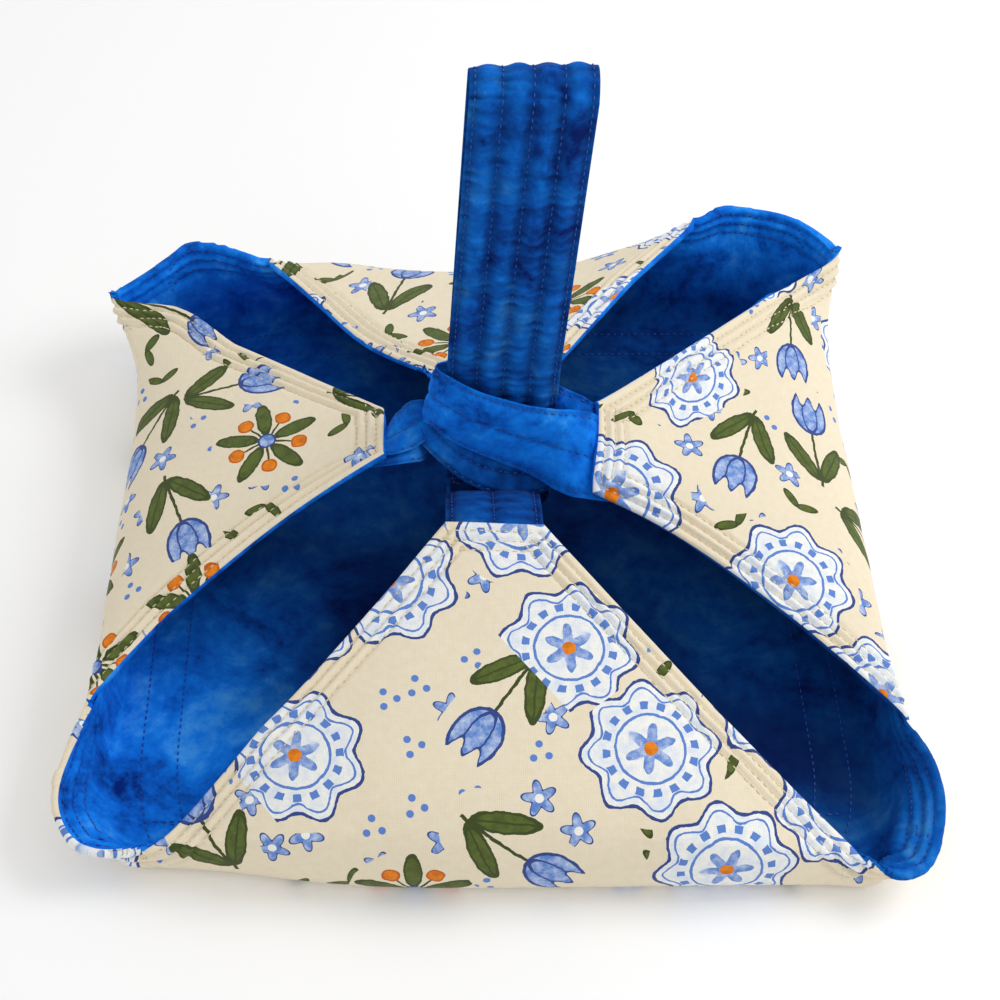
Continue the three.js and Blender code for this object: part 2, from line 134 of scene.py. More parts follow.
# One motif to a cell, each turned its own way: a number that picks the motif, and the place in it in mm
def scatter(tree, uv, cell, randomness):
    spread = addNode(tree, "VectorMath", {0: uv, "Scale": 1000 / cell}, operation="SCALE")[0]
    cells = addNode(tree, "TexVoronoi", {"Vector": spread, "Scale": 1, "Randomness": randomness},
                    voronoi_dimensions="2D")
    offset = addNode(tree, "VectorMath", {0: spread, 1: cells["Position"]}, operation="SUBTRACT")[0]
    pick = addNode(tree, "SeparateColor", {0: cells["Color"]})
    turn = addNode(tree, "Math", {0: pick[0], 1: fullTurn}, operation="MULTIPLY")[0]
    turned = addNode(tree, "VectorRotate", {"Vector": offset, "Angle": turn}, rotation_type="Z_AXIS")[0]
    return pick[1], addNode(tree, "VectorMath", {0: turned, "Scale": cell}, operation="SCALE")[0]


def polar(tree, point):
    axes = addNode(tree, "SeparateXYZ", {0: point})
    reach = addNode(tree, "VectorMath", {0: point}, operation="LENGTH")["Value"]
    angle = addNode(tree, "Math", {0: axes[1], 1: axes[0]}, operation="ARCTAN2")[0]
    return axes[0], axes[1], reach, angle


# Folds the plane round its middle into one wedge, so that what is drawn once shows several times
def foldRound(tree, angle, reach, half):
    turn = addNode(tree, "Math", {0: angle, 1: -half, 2: half}, operation="WRAP")[0]
    parts = [addNode(tree, "Math", {0: turn}, operation=part)[0] for part in ("COSINE", "SINE")]
    return [addNode(tree, "Math", {0: part, 1: reach}, operation="MULTIPLY")[0] for part in parts]


# A wavy outline: how many waves, how high, and the size that they stand on
def wavyEdge(tree, along, waves, height, size):
    phase = addNode(tree, "Math", {0: along, 1: waves}, operation="MULTIPLY")[0]
    wave = addNode(tree, "Math", {0: phase}, operation="COSINE")[0]
    return addNode(tree, "Math", {0: wave, 1: height, 2: size}, operation="MULTIPLY_ADD")[0]


# The plane measured in an oval's own size, and how far out a point is, where 1 is the outline
def oval(tree, point, middle, size, turn=0):
    space = addNode(tree, "Mapping", {0: point, "Location": (*middle, 0), "Rotation": (0, 0, turn),
                                      "Scale": (*size, 1)}, vector_type="TEXTURE")[0]
    return space, addNode(tree, "VectorMath", {0: space}, operation="LENGTH")["Value"]


def insideAndLine(tree, reach, outline, line):
    inside = addNode(tree, "Math", {0: reach, 1: outline}, operation="LESS_THAN")[0]
    return inside, addNode(tree, "Math", {0: reach, 1: outline, 2: line}, operation="COMPARE")[0]


def makePrintedCotton(look):
    material, tree = newMaterial("printedCotton")
    paint = {name: linear(code) for name, code in look.items() if isinstance(code, str)}
    grain = addNode(tree, "UVMap", uv_map="flat")[0]
    uv = addNode(tree, "Mapping", {0: grain, "Location": look["start"], "Rotation": (0, 0, look["askew"])})[0]
    tone = addNode(tree, "TexNoise", {"Vector": uv, "Scale": 1000 / look["tone"], "Detail": 3})[0]

    # The motifs, drawn with a slightly unsteady hand; lengths below are millimetres from a motif's middle
    kind, local = scatter(tree, uv, look["cell"], 0.5)
    wobble = addNode(tree, "TexNoise", {"Vector": local, "Scale": 1 / look["wobbleLength"], "Detail": 2})[1]
    shake = Vector((look["wobble"], look["wobble"], 0))
    shaken = addNode(tree, "VectorMath", {0: wobble, 1: shake, 2: local}, operation="MULTIPLY_ADD")[0]
    drawn = addNode(tree, "VectorMath", {0: shaken, 1: shake / 2}, operation="SUBTRACT")[0]
    flat = addNode(tree, "VectorMath", {0: drawn, 1: (1, 1, 0)}, operation="MULTIPLY")[0]
    x, y, radius, angle = polar(tree, flat)

    wash = addNode(tree, "TexNoise", {"Vector": flat, "Scale": 1 / look["wash"], "Detail": 4,
                                      "Roughness": 0.65})[0]
    washRamp = addNode(tree, "MapRange", {0: wash, 1: 0.42, 2: 0.72})[0]
    blueWash, leafWash, berryWash, ground = (
        addNode(tree, "Mix", {0: share, 6: paint[one], 7: paint[other]}, data_type="RGBA")[2]
        for share, one, other in ((washRamp, "blue", "paleBlue"), (washRamp, "olive", "deepOlive"),
                                  (washRamp, "orange", "deepOrange"), (tone, "ground", "groundShade")))

    # Small blooms, leaf pairs and dots sown on the ground between the motifs
    seedKind, seedPoint = scatter(tree, uv, look["filler"], 0.6)
    seedX, seedY, seedReach, seedAngle = polar(tree, seedPoint)
    bloomEdge = wavyEdge(tree, seedAngle, 5, 2, 5.6)
    bloomGap = addNode(tree, "Math", {0: seedReach, 1: bloomEdge}, operation="SUBTRACT")[0]
    bloomIn, bloomLine = insideAndLine(tree, bloomGap, 0, 0.4)
    bloomHeart = addNode(tree, "Math", {0: seedReach, 1: 1.9}, operation="LESS_THAN")[0]
    pairSide = addNode(tree, "Math", {0: seedX}, operation="ABSOLUTE")[0]
    pairPoint = addNode(tree, "CombineXYZ", {0: pairSide, 1: seedY})[0]
    pairReach = oval(tree, pairPoint, (4.6, 1.2), (5.2, 2), 0.5)[1]
    pairIn, pairLine = insideAndLine(tree, pairReach, 1, 0.15)
    dotX, dotY = foldRound(tree, seedAngle, seedReach, 1.0472)
    dotPoint = addNode(tree, "CombineXYZ", {0: dotX, 1: dotY})[0]
    dotReach = addNode(tree, "VectorMath", {0: dotPoint, 1: (3.8, 0, 0)}, operation="DISTANCE")["Value"]
    dotIn = addNode(tree, "Math", {0: dotReach, 1: 1.6}, operation="LESS_THAN")[0]
    bloom, pair = ground, ground
    for mask, colour in ((bloomIn, blueWash), (bloomLine, paint["deepBlue"]), (bloomHeart, paint["white"])):
        bloom = addNode(tree, "Mix", {0: mask, 6: bloom, 7: colour}, data_type="RGBA")[2]
    for mask, colour in ((pairIn, leafWash), (pairLine, paint["deepOlive"])):
        pair = addNode(tree, "Mix", {0: mask, 6: pair, 7: colour}, data_type="RGBA")[2]
    dots = addNode(tree, "Mix", {0: dotIn, 6: ground, 7: paint["blue"]}, data_type="RGBA")[2]
    isPair = addNode(tree, "Math", {0: seedKind, 1: 0.45}, operation="GREATER_THAN")[0]
    isDots = addNode(tree, "Math", {0: seedKind, 1: 0.68}, operation="GREATER_THAN")[0]
    seed = addNode(tree, "Mix", {0: isPair, 6: bloom, 7: pair}, data_type="RGBA")[2]
    seed = addNode(tree, "Mix", {0: isDots, 6: seed, 7: dots}, data_type="RGBA")[2]

    # The ground stays bare round each motif
    stemHeld = addNode(tree, "Math", {0: y, 1: -20}, operation="MAXIMUM")[0]
    stemNear = addNode(tree, "Math", {0: stemHeld, 1: 26}, operation="MINIMUM")[0]
    stemAway = addNode(tree, "Math", {0: y, 1: stemNear}, operation="SUBTRACT")[0]
    stemPoint = addNode(tree, "CombineXYZ", {0: x, 1: stemAway})[0]
    stemReach = addNode(tree, "VectorMath", {0: stemPoint}, operation="LENGTH")["Value"]
    isSprig = addNode(tree, "Math", {0: kind, 1: 0.42}, operation="GREATER_THAN")[0]
    isWreath = addNode(tree, "Math", {0: kind, 1: 0.74}, operation="GREATER_THAN")[0]
    roomy = addNode(tree, "Mix", {0: isSprig, 2: radius, 3: stemReach})[0]
    room = addNode(tree, "Mix", {0: isWreath, 2: roomy, 3: radius})[0]
    roomNeeded = addNode(tree, "Mix", {0: isSprig, 2: 34.0, 3: 17.0})[0]
    needed = addNode(tree, "Mix", {0: isWreath, 2: roomNeeded, 3: 28.0})[0]
    clear = addNode(tree, "Math", {0: room, 1: needed}, operation="GREATER_THAN")[0]
    ground = addNode(tree, "Mix", {0: clear, 6: ground, 7: seed}, data_type="RGBA")[2]

    # Rosette: a scalloped disc with a ring of beads and a small flower in the middle
    rosetteEdge = wavyEdge(tree, angle, 8, 2.6, 28)
    rosetteGap = addNode(tree, "Math", {0: radius, 1: rosetteEdge}, operation="SUBTRACT")[0]
    rosetteIn, rosetteLine = insideAndLine(tree, rosetteGap, 0, 0.75)
    innerScallop = addNode(tree, "Math", {0: rosetteGap, 1: -3.8, 2: 0.5}, operation="COMPARE")[0]
    ring = addNode(tree, "Math", {0: radius, 1: 15, 2: 0.6}, operation="COMPARE")[0]
    beadWave = wavyEdge(tree, angle, 16, 1, 0)
    beadOn = addNode(tree, "Math", {0: beadWave, 1: 0.1}, operation="GREATER_THAN")[0]
    beadBand = addNode(tree, "Math", {0: radius, 1: 19.2, 2: 1.7}, operation="COMPARE")[0]
    beads = addNode(tree, "Math", {0: beadOn, 1: beadBand}, operation="MULTIPLY")[0]
    petalEdge = wavyEdge(tree, angle, 6, 3.4, 8.2)
    petals = addNode(tree, "Math", {0: radius, 1: petalEdge}, operation="LESS_THAN")[0]
    heart = addNode(tree, "Math", {0: radius, 1: 3}, operation="LESS_THAN")[0]
    rosette = addNode(tree, "Mix", {0: rosetteIn, 6: ground, 7: paint["white"]}, data_type="RGBA")[2]
    pale = addNode(tree, "Mix", {0: washRamp, 6: rosette, 7: paint["paleBlue"]}, data_type="RGBA")[2]
    for mask, colour in ((rosetteIn, pale), (rosetteLine, paint["deepBlue"]), (innerScallop, paint["blue"]),
                         (ring, paint["blue"]), (beads, paint["blue"]), (petals, blueWash),
                         (heart, berryWash)):
        rosette = addNode(tree, "Mix", {0: mask, 6: rosette, 7: colour}, data_type="RGBA")[2]

    # Tulip sprig: a stem, a pair of leaves and a cup of three petals
    side = addNode(tree, "Math", {0: x}, operation="ABSOLUTE")[0]
    folded = addNode(tree, "CombineXYZ", {0: side, 1: y})[0]
    stemWide = addNode(tree, "Math", {0: x, 1: 0, 2: 0.8}, operation="COMPARE")[0]
    stemLong = addNode(tree, "Math", {0: y, 1: -10, 2: 20}, operation="COMPARE")[0]
    stem = addNode(tree, "Math", {0: stemWide, 1: stemLong}, operation="MULTIPLY")[0]
    leafSpace, leafReach = oval(tree, folded, (8.5, -13), (4.2, 14), -0.52)
    leafIn, leafLine = insideAndLine(tree, leafReach, 1, 0.12)
    leafAxes = addNode(tree, "SeparateXYZ", {0: leafSpace})
    leafMiddle = addNode(tree, "Math", {0: leafAxes[0], 1: 0, 2: 0.1}, operation="COMPARE")[0]
    leafVein = addNode(tree, "Math", {0: leafMiddle, 1: leafIn}, operation="MULTIPLY")[0]
    cupReach = oval(tree, flat, (0, 19), (10.5, 14))[1]
    crown = wavyEdge(tree, x, 0.75, 3.4, 25)
    crownGap = addNode(tree, "Math", {0: y, 1: crown}, operation="SUBTRACT")[0]
    crownScaled = addNode(tree, "Math", {0: crownGap, 1: 0.08, 2: 1}, operation="MULTIPLY_ADD")[0]
    cup = addNode(tree, "Math", {0: cupReach, 1: crownScaled}, operation="MAXIMUM")[0]
    cupIn, cupLine = insideAndLine(tree, cup, 1, 0.065)
    innerReach = oval(tree, flat, (0, 18), (4.6, 12))[1]
    innerLine = addNode(tree, "Math", {0: innerReach, 1: 1, 2: 0.09}, operation="COMPARE")[0]
    petalLine = addNode(tree, "Math", {0: innerLine, 1: cupIn}, operation="MULTIPLY")[0]
    sprig = ground
    for mask, colour in ((stem, paint["deepOlive"]), (leafIn, leafWash), (leafLine, paint["deepOlive"]),
                         (leafVein, paint["deepOlive"]), (cupIn, blueWash), (cupLine, paint["deepBlue"]),
                         (petalLine, paint["deepBlue"])):
        sprig = addNode(tree, "Mix", {0: mask, 6: sprig, 7: colour}, data_type="RGBA")[2]

    # Berry wreath: five berries and five leaves in turn round a small blue bud
    fifth = 0.6283
    berryX, berryY = foldRound(tree, angle, radius, fifth)
    berryPoint = addNode(tree, "CombineXYZ", {0: berryX, 1: berryY})[0]
    berryReach = addNode(tree, "VectorMath", {0: berryPoint, 1: (16, 0, 0)}, operation="DISTANCE")["Value"]
    berryIn, berryLine = insideAndLine(tree, berryReach, 3.6, 0.45)
    stalkWide = addNode(tree, "Math", {0: berryY, 1: 0, 2: 0.55}, operation="COMPARE")[0]
    stalkLong = addNode(tree, "Math", {0: berryX, 1: 7.5, 2: 5}, operation="COMPARE")[0]
    stalk = addNode(tree, "Math", {0: stalkWide, 1: stalkLong}, operation="MULTIPLY")[0]
    between = addNode(tree, "Math", {0: angle, 1: fifth}, operation="ADD")[0]
    sprayX, sprayY = foldRound(tree, between, radius, fifth)
    sprayPoint = addNode(tree, "CombineXYZ", {0: sprayX, 1: sprayY})[0]
    sprayReach = oval(tree, sprayPoint, (15, 0), (10, 3.6))[1]
    sprayIn, sprayLine = insideAndLine(tree, sprayReach, 1, 0.12)
    budIn, budLine = insideAndLine(tree, radius, 4, 0.5)
    wreath = ground
    for mask, colour in ((stalk, paint["deepOlive"]), (sprayIn, leafWash), (sprayLine, paint["deepOlive"]),
                         (berryIn, berryWash), (berryLine, paint["deepOrange"]), (budIn, blueWash),
                         (budLine, paint["deepBlue"])):
        wreath = addNode(tree, "Mix", {0: mask, 6: wreath, 7: colour}, data_type="RGBA")[2]

    motif = addNode(tree, "Mix", {0: isSprig, 6: rosette, 7: sprig}, data_type="RGBA")[2]
    motif = addNode(tree, "Mix", {0: isWreath, 6: motif, 7: wreath}, data_type="RGBA")[2]

    # Weave and puckers
    threads = {"Vector": grain, "Scale": 1000 / look["weave"] / fullTurn * 2, "Distortion": 1.5, "Detail": 1}
    warp, weft = (addNode(tree, "TexWave", threads, bands_direction=way)[1] for way in ("X", "Y"))
    weave = addNode(tree, "Math", {0: warp, 1: weft}, operation="ADD")[0]
    fade = addNode(tree, "MapRange", {0: weave, 1: 0, 2: 2, 3: 0.93, 4: 1.03})[0]
    colour = addNode(tree, "VectorMath", {0: motif, "Scale": fade}, operation="SCALE")[0]
    pucker = addNode(tree, "TexNoise", {"Vector": uv, "Scale": 1000 / look["pucker"], "Detail": 3,
                                        "Roughness": 0.55})[0]
    weaveBump = addNode(tree, "Bump", {"Strength": 0.25, "Distance": 0.0002, "Height": weave})[0]
    bump = addNode(tree, "Bump", {"Strength": 0.5, "Distance": 0.0012, "Height": pucker,
                                  "Normal": weaveBump})[0]
    shader = addNode(tree, "BsdfPrincipled", {
        "Base Color": colour, "Roughness": look["roughness"], "Specular IOR Level": look["specular"],
        "Sheen Weight": look["sheen"], "Sheen Roughness": look["sheenRoughness"], "Normal": bump})[0]
    addNode(tree, "OutputMaterial", {0: shader})
    return material


# Hand-dyed cotton: plain weave, royal blue, in clouds where the dye took unevenly, with fine cross wrinkles,
# and painted shade from a per-point attribute mixed in towards a near-black blue.
# The weave is drawn at 0.8 mm here too.
dyedLook = {
    # the last colour on this line is the near-black blue of the painted shade
    "deep": "#02287A", "mid": "#0868D4", "bright": "#1282F0", "pale": "#46A4F8", "shadowBlue": "#000E42",
    "stops": ((0.53, "deep"), (0.69, "mid"), (0.82, "bright"), (0.99, "pale")),
    "cloud": 40, "mottle": 8, "mottleShare": 0.5, "wrinkle": 5, "weave": 0.8,
    "roughness": 0.85, "specular": 0.08, "sheen": 0.015, "sheenRoughness": 0.45,
}


def makeDyedCotton(look):
    material, tree = newMaterial("dyedCotton")
    place = addNode(tree, "TexCoord")["Object"]
    cloud = addNode(tree, "TexNoise", {"Vector": place, "Scale": 1000 / look["cloud"], "Detail": 5,
                                       "Roughness": 0.6, "Distortion": 0.9})[0]
    mottle = addNode(tree, "TexNoise", {"Vector": place, "Scale": 1000 / look["mottle"], "Detail": 4,
                                        "Roughness": 0.7})[0]
    mixed = addNode(tree, "Math", {0: mottle, 1: look["mottleShare"], 2: cloud}, operation="MULTIPLY_ADD")[0]
    ramp = addNode(tree, "ValToRGB", {0: mixed})
    stops = ramp[0].node.color_ramp.elements
    while len(stops) < len(look["stops"]):
        stops.new(0.5)
    for stop, (at, name) in zip(stops, look["stops"]):
        stop.position = at
        stop.color = linear(look[name])
    paintedShade = addNode(tree, "Attribute", attribute_name="paintedShade")["Fac"]    # painted shade: darkens the dye where shade falls in the carrier and the knot
    dyeShade = addNode(tree, "Mix", {0: paintedShade, 6: ramp[0], 7: linear(look["shadowBlue"])}, data_type="RGBA")[2]
    wrinkle = addNode(tree, "TexNoise", {"Vector": place, "Scale": 1000 / look["wrinkle"], "Detail": 3})[0]
    threads = addNode(tree, "TexNoise", {"Vector": place, "Scale": 1000 / look["weave"], "Detail": 1})[0]
    threadBump = addNode(tree, "Bump", {"Strength": 0.3, "Distance": 0.0003, "Height": threads})[0]
    bump = addNode(tree, "Bump", {"Strength": 0.45, "Distance": 0.0012, "Height": wrinkle,
                                  "Normal": threadBump})[0]
    shader = addNode(tree, "BsdfPrincipled", {
        "Base Color": dyeShade, "Roughness": look["roughness"], "Specular IOR Level": look["specular"],
        "Sheen Weight": look["sheen"], "Sheen Roughness": look["sheenRoughness"], "Normal": bump})[0]
    addNode(tree, "OutputMaterial", {0: shader})
    return material


# Spun cotton sewing thread, slightly glossier than the cloth and twisted
threadLook = {"cream": ("#F4EAD0", "#CDBE98"), "blue": ("#1A57B8", "#0A2F80"),
              "twist": 0.714, "roughness": 0.7}


def makeThread(name, look):
    material, tree = newMaterial(name + "Thread")
    light, dark = (linear(code) for code in look[name])
    place = addNode(tree, "TexCoord")["Object"]
    twist = addNode(tree, "TexNoise", {"Vector": place, "Scale": 1000 / look["twist"], "Detail": 2})[0]
    colour = addNode(tree, "Mix", {0: twist, 6: light, 7: dark}, data_type="RGBA")[2]
    bump = addNode(tree, "Bump", {"Strength": 0.4, "Distance": 0.0002, "Height": twist})[0]
    shader = addNode(tree, "BsdfPrincipled", {"Base Color": colour, "Roughness": look["roughness"],
                                              "Normal": bump})[0]
    addNode(tree, "OutputMaterial", {0: shader})
    return material


printedCotton = makePrintedCotton(printedLook)
dyedCotton = makeDyedCotton(dyedLook)
creamThread, blueThread = (makeThread(name, threadLook) for name in ("cream", "blue"))
print("materials made")


def finishPiece(name, bm, materials, smooth=True):
    mesh = bpy.data.meshes.new(name)
    bmesh.ops.scale(bm, vec=(mm, mm, mm), verts=bm.verts)
    for face in bm.faces:
        face.smooth = smooth
    bm.to_mesh(mesh)
    bm.free()
    for material in materials:
        mesh.materials.append(material)
    piece = bpy.data.objects.new(name, mesh)
    bpy.context.scene.collection.objects.link(piece)
    return piece


# A smooth run of stations, each with a middle, the direction across, a width and a thickness
def smoothPath(keys, pitch):
    points = np.array([list(k["at"]) + list(k["across"]) + [k["width"], k["thick"]] for k in keys], float)
    padded = np.vstack([2 * points[0] - points[1], points, 2 * points[-1] - points[-2]])
    rows = []
    for k in range(len(points) - 1):
        p0, p1, p2, p3 = padded[k:k + 4]
        steps = max(2, round(np.linalg.norm(p2[:3] - p1[:3]) / pitch))
        t = np.linspace(0, 1, steps + 1)[: None if k == len(points) - 2 else -1, None]
        rows.append(0.5 * (2 * p1 + (p2 - p0) * t + (2 * p0 - 5 * p1 + 4 * p2 - p3) * t ** 2 +
                           (3 * p1 - p0 - 3 * p2 + p3) * t ** 3))
    return np.vstack(rows)


def station(at, across, width, thick):
    return {"at": at, "across": across, "width": width, "thick": thick}


# Cloth: base, low wall, corner lips and four flaps, cut from one quilted sheet

cloth = {
    "rimHeight": 18, "wallLean": 11, "wallStretch": 1.2, "crown": 2.2, "rise": 40, "run": 80, "pitch": 15,
    "uprightShare": 0.2, "bendSlope": 41.8, "bendEnd": 112, "tipHeight": 85, "cornerRound": 0.6,
    "lipCurl": 1.7, "swell": 1.2,
    "thickness": 6.5, "edgeThickness": 4.4, "edgeBand": (8, 26), "edgeRound": 2.2, "edgeStep": 0.6,
    "stitchRows": (4.6, 9.4, 14.2), "groove": 1.4, "grooveWidth": 0.95, "ridge": 0.85, "ridgeWidth": 1.5,
    # painted shade on the lining: its depth, the distance from the sewn edge over which it grows, and its
    # most
    "quiltInsets": (22, 38), "paintedShade": 0.84, "shadeBand": (22, 95), "shadeMost": 0.95,
    "sideCells": 128, "cornerCells": 110, "lipRows": 24, "freeRows": 90, "wallRows": 10, "weld": 0.005,
    "floorShares": (0, 0.2, 0.4, 0.6, 0.75, 0.88, 0.96),
    "sag": 1.9, "sagLength": 75, "sagSeed": (3.1, 7.7, 1.3), "sagHeights": (6, 30), "sagAtEdge": 0.35,
    "sagBand": (2, 40), "smallSag": 0.45, "smallSagLength": 30, "smallSagSeed": (9.2, 0.4, 5.1),
    "pucker": 0.28, "puckerLength": 4.2, "gather": 0.8, "gatherLength": 4.6, "gatherDepth": 14,
    "gatherFrom": (85, 125), "sewnBand": ((1, 4), (15, 22)),
    "lipDepth": 26, "lipBlend": 9, "lipRound": 3.5, "lipBlur": 12, "lipWindow": 40,
    "rolledRows": 4, "rolledLip": 3,    # the front left lip shows the print a little inside its edge
    # the lips' edges, corner by corner, from one flap's edge to the next
    "lipEdges": (
        ((102, -112, 52), (129, -162, 36), (151, -184, 27), (162, -195.5, 21), (173, -195, 19),
         (182, -191.5, 20), (189, -180, 22), (193, -164, 26), (193, -152, 30), (189, -137, 34),
         (178, -119, 38), (157, -98, 47)),
        ((137, 121, 67), (162, 137, 66), (189.8, 157.2, 67.5), (185.6, 163.6, 69), (182.4, 168.6, 70),
         (177, 174.6, 71), (170, 181, 71.5), (159, 186.4, 72), (144, 189.5, 73), (129, 189, 74),
         (118, 182, 75), (107, 168, 76), (80, 124, 79)),
        ((-30, 52, 84), (-48, 66, 80), (-66, 85, 76), (-92, 127, 68.5), (-112.5, 153, 66), (-132, 167, 64),
         (-146, 172.5, 63), (-157.7, 172.4, 62), (-166.5, 166, 60.5), (-177.7, 154.4, 58.5),
         (-185.6, 148.2, 57), (-193, 142.2, 56), (-197.4, 138.8, 54.6), (-180, 134, 55), (-155, 124, 59),
         (-120, 105, 65)),
        ((-150, -73, 49), (-173, -103, 42), (-183, -118.5, 37), (-189, -134, 32), (-192.5, -150, 27),
         (-190, -164, 24), (-179, -179, 22), (-162, -181.5, 22), (-146, -176, 25), (-133, -165, 30),
         (-108, -126, 46)),
    ),
    # the mark where a lip turns off from a flap's edge, that flap and which end of it
    "lipTurns": (None, (2, 1, 1), (12, 3, 0), None),
    # painted shade added where shadow falls (positive) and taken back where light falls (negative): where, by
    # how much and how far round
    "lightAndShadePools": (((150, -130), 0.75, 78), ((55, -55), 0.25, 45), ((-55, -60), 0.25, 45),
                 ((-160, -165), -0.6, 80), ((-120, 120), -0.25, 60)),
    # how the soft sheet was left standing: where, by how much and how far round
    "pulls": (((-160, -188, 10), (0, 15, 0), 70), ((-183, 138, 60), (-15, 0, 3), 34),
              ((183, 157, 72), (9, 0, 5), 36), ((-20, -48, 85), (0, 0, 2.4), 32),
              ((46, -20, 74), (-5, 0, 0), 22)),
}
sides = [
    {"name": "front", "turn": 0, "rim": 191, "ends": (-150, 150), "heights": (30, 30), "bows": (0, 0),
     "reach": 50, "tipWidth": 44, "offset": 0, "tilt": 0, "flare": 15, "dip": 7, "bendStart": 6},
    {"name": "right", "turn": 90, "rim": 181, "ends": (-122, 157), "heights": (36, 63), "bows": (11, 0),
     "reach": 50, "tipWidth": 44, "offset": -3, "tilt": 27, "flare": 13, "dip": 4, "bendStart": 25},
    {"name": "back", "turn": 180, "rim": 183, "ends": (-110, 106), "heights": (73, 55), "bows": (0, 0),
     "reach": 45, "tipWidth": 51, "offset": 0, "tilt": 0, "flare": 10, "dip": 4, "bendStart": 30},
    {"name": "left", "turn": 270, "rim": 181, "ends": (-138, 108), "heights": (52, 38), "bows": (0, 11),
     "reach": 50, "tipWidth": 44, "offset": -10, "tilt": 18, "flare": 11, "dip": 7, "bendStart": 19},
]


def smoothStep(x, low, high):
    t = np.clip((x - low) / (high - low), 0, 1)
    return t * t * (3 - 2 * t)


# From a side's own measures, along it and out from the middle, to the carrier's
def onSide(side, along, out, z):
    along, out = np.asarray(along, float), np.asarray(out, float)
    c, s = math.cos(math.radians(side["turn"])), math.sin(math.radians(side["turn"]))
    return np.stack([along * c + out * s, along * s - out * c, z + 0 * along], -1)


def runLength(points):
    return np.concatenate([[0], np.cumsum(np.linalg.norm(np.diff(points, axis=0), axis=1))])


def walk(points, marks):
    lengths = runLength(points)
    return np.stack([np.interp(marks, lengths, points[:, a]) for a in range(points.shape[1])], -1)


def treeOf(points):
    tree = KDTree(len(points))
    for index, point in enumerate(points):
        tree.insert(point, index)
    tree.balance()
    return tree


def billow(points, length, seed=(0, 0, 0)):
    return np.array([noise.noise(Vector(p) / length + Vector(seed)) for p in points])


def bezier(t, *points):
    rows = [np.asarray(p, float) + 0 * t[..., None] for p in points]
    while len(rows) > 1:
        rows = [a + (b - a) * t[..., None] for a, b in zip(rows, rows[1:])]
    return rows[0]


def edgeSpread(cells):
    g = np.linspace(-1, 1, cells + 1)
    return 0.3 * g + 0.7 * np.sin(g * math.pi / 2)    # finer towards both ends


def topSpread(cells):
    g = np.linspace(0, 1, cells + 1)
    return 0.35 * g + 0.65 * np.sin(g * math.pi / 2)    # finer towards the top


def flapGrid(side):
    c = cloth
    low = c["uprightShare"] * topSpread(c["lipRows"])    # the flap's ends share the lips' rows
    free = c["uprightShare"] + (1 - c["uprightShare"]) * topSpread(c["freeRows"])[1:]
    v, u = np.meshgrid(np.concatenate([low, free]), edgeSpread(c["sideCells"]), indexing="ij")
    fold, top = c["rimHeight"], c["tipHeight"]
    pitch, tilt = math.radians(c["pitch"]), math.radians(side["tilt"])
    middle = bezier(v, (0, side["rim"], fold), (0, side["rim"], fold + c["rise"]),
                    (0, side["reach"] + c["run"] * math.cos(pitch), top - c["run"] * math.sin(pitch)),
                    (0, side["reach"], top))
    middle[..., 0] = sum(side["ends"]) / 2 * (1 - v) + side["offset"] * v
    local = np.empty_like(middle)
    for k, hand in enumerate((-1, 1)):
        corner = np.array([side["ends"][k], side["rim"], side["heights"][k]], float)
        half = hand * side["tipWidth"] / 2
        tip = np.array([side["offset"] + half * math.cos(tilt), side["reach"], top + half * math.sin(tilt)])
        pull = (corner + tip) / 2 - np.array([2 * hand * side["bows"][k], 0, 0])
        edge = bezier(np.clip((v - c["uprightShare"]) / (1 - c["uprightShare"]), 0, 1), corner, pull, tip)
        rise = np.clip(v / c["uprightShare"], 0, 1)
        edge[..., 2] = np.where(v < c["uprightShare"], fold + (corner[2] - fold) * rise, edge[..., 2])
        t = np.abs(u)[..., None]
        shape = middle + (edge - middle) * np.concatenate([t, t ** c["crown"], t ** c["crown"]], -1)
        here = (u < 0) if hand < 0 else (u >= 0)
        local[here] = shape[here]
    step = np.hypot(np.diff(local[..., 1], axis=0), np.diff(local[..., 2], axis=0))
    rise = np.concatenate([np.zeros((1, u.shape[1])), np.cumsum(step, 0)])
    flat = onSide(side, local[..., 0], side["rim"] + rise, 0)
    return onSide(side, local[..., 0], local[..., 1], local[..., 2]), flat


def wallColumns():
    rims, outs, lips, flares = [], [], [], []
    for k, side in enumerate(sides):
        after = sides[(k + 1) % 4]
        low, high = side["ends"]
        along = (low + high) / 2 + edgeSpread(cloth["sideCells"])[:-1] * (high - low) / 2
        rims.append(onSide(side, along, side["rim"] + 0 * along, 0))
        outs.append(onSide(side, 0 * along, 1 + 0 * along, 0))
        lips.append(np.full(len(along), side["heights"][0]))
        flares.append(0 * along)
        t = np.linspace(0, 1, cloth["cornerCells"] + 1)[:-1]
        start = onSide(side, high, side["rim"], 0)
        end = onSide(after, after["ends"][0], after["rim"], 0)
        square = onSide(side, after["rim"], side["rim"], 0)
        pulls = [start + (square - start) * cloth["cornerRound"], end + (square - end) * cloth["cornerRound"]]
        curve = bezier(t, start, *pulls, end)
        way = bezier(t, pulls[0] - start, pulls[1] - pulls[0], end - pulls[1])
        way /= np.linalg.norm(way, axis=1, keepdims=True)
        bulge = np.sin(math.pi * t)
        rims.append(curve)
        outs.append(np.stack([way[:, 1], -way[:, 0], 0 * t], -1))
        lips.append(side["heights"][1] + (after["heights"][0] - side["heights"][1]) * t - side["dip"] * bulge)
        flares.append(side["flare"] * bulge ** cloth["swell"])
    return [np.concatenate(part) for part in (rims, outs, lips, flares)]


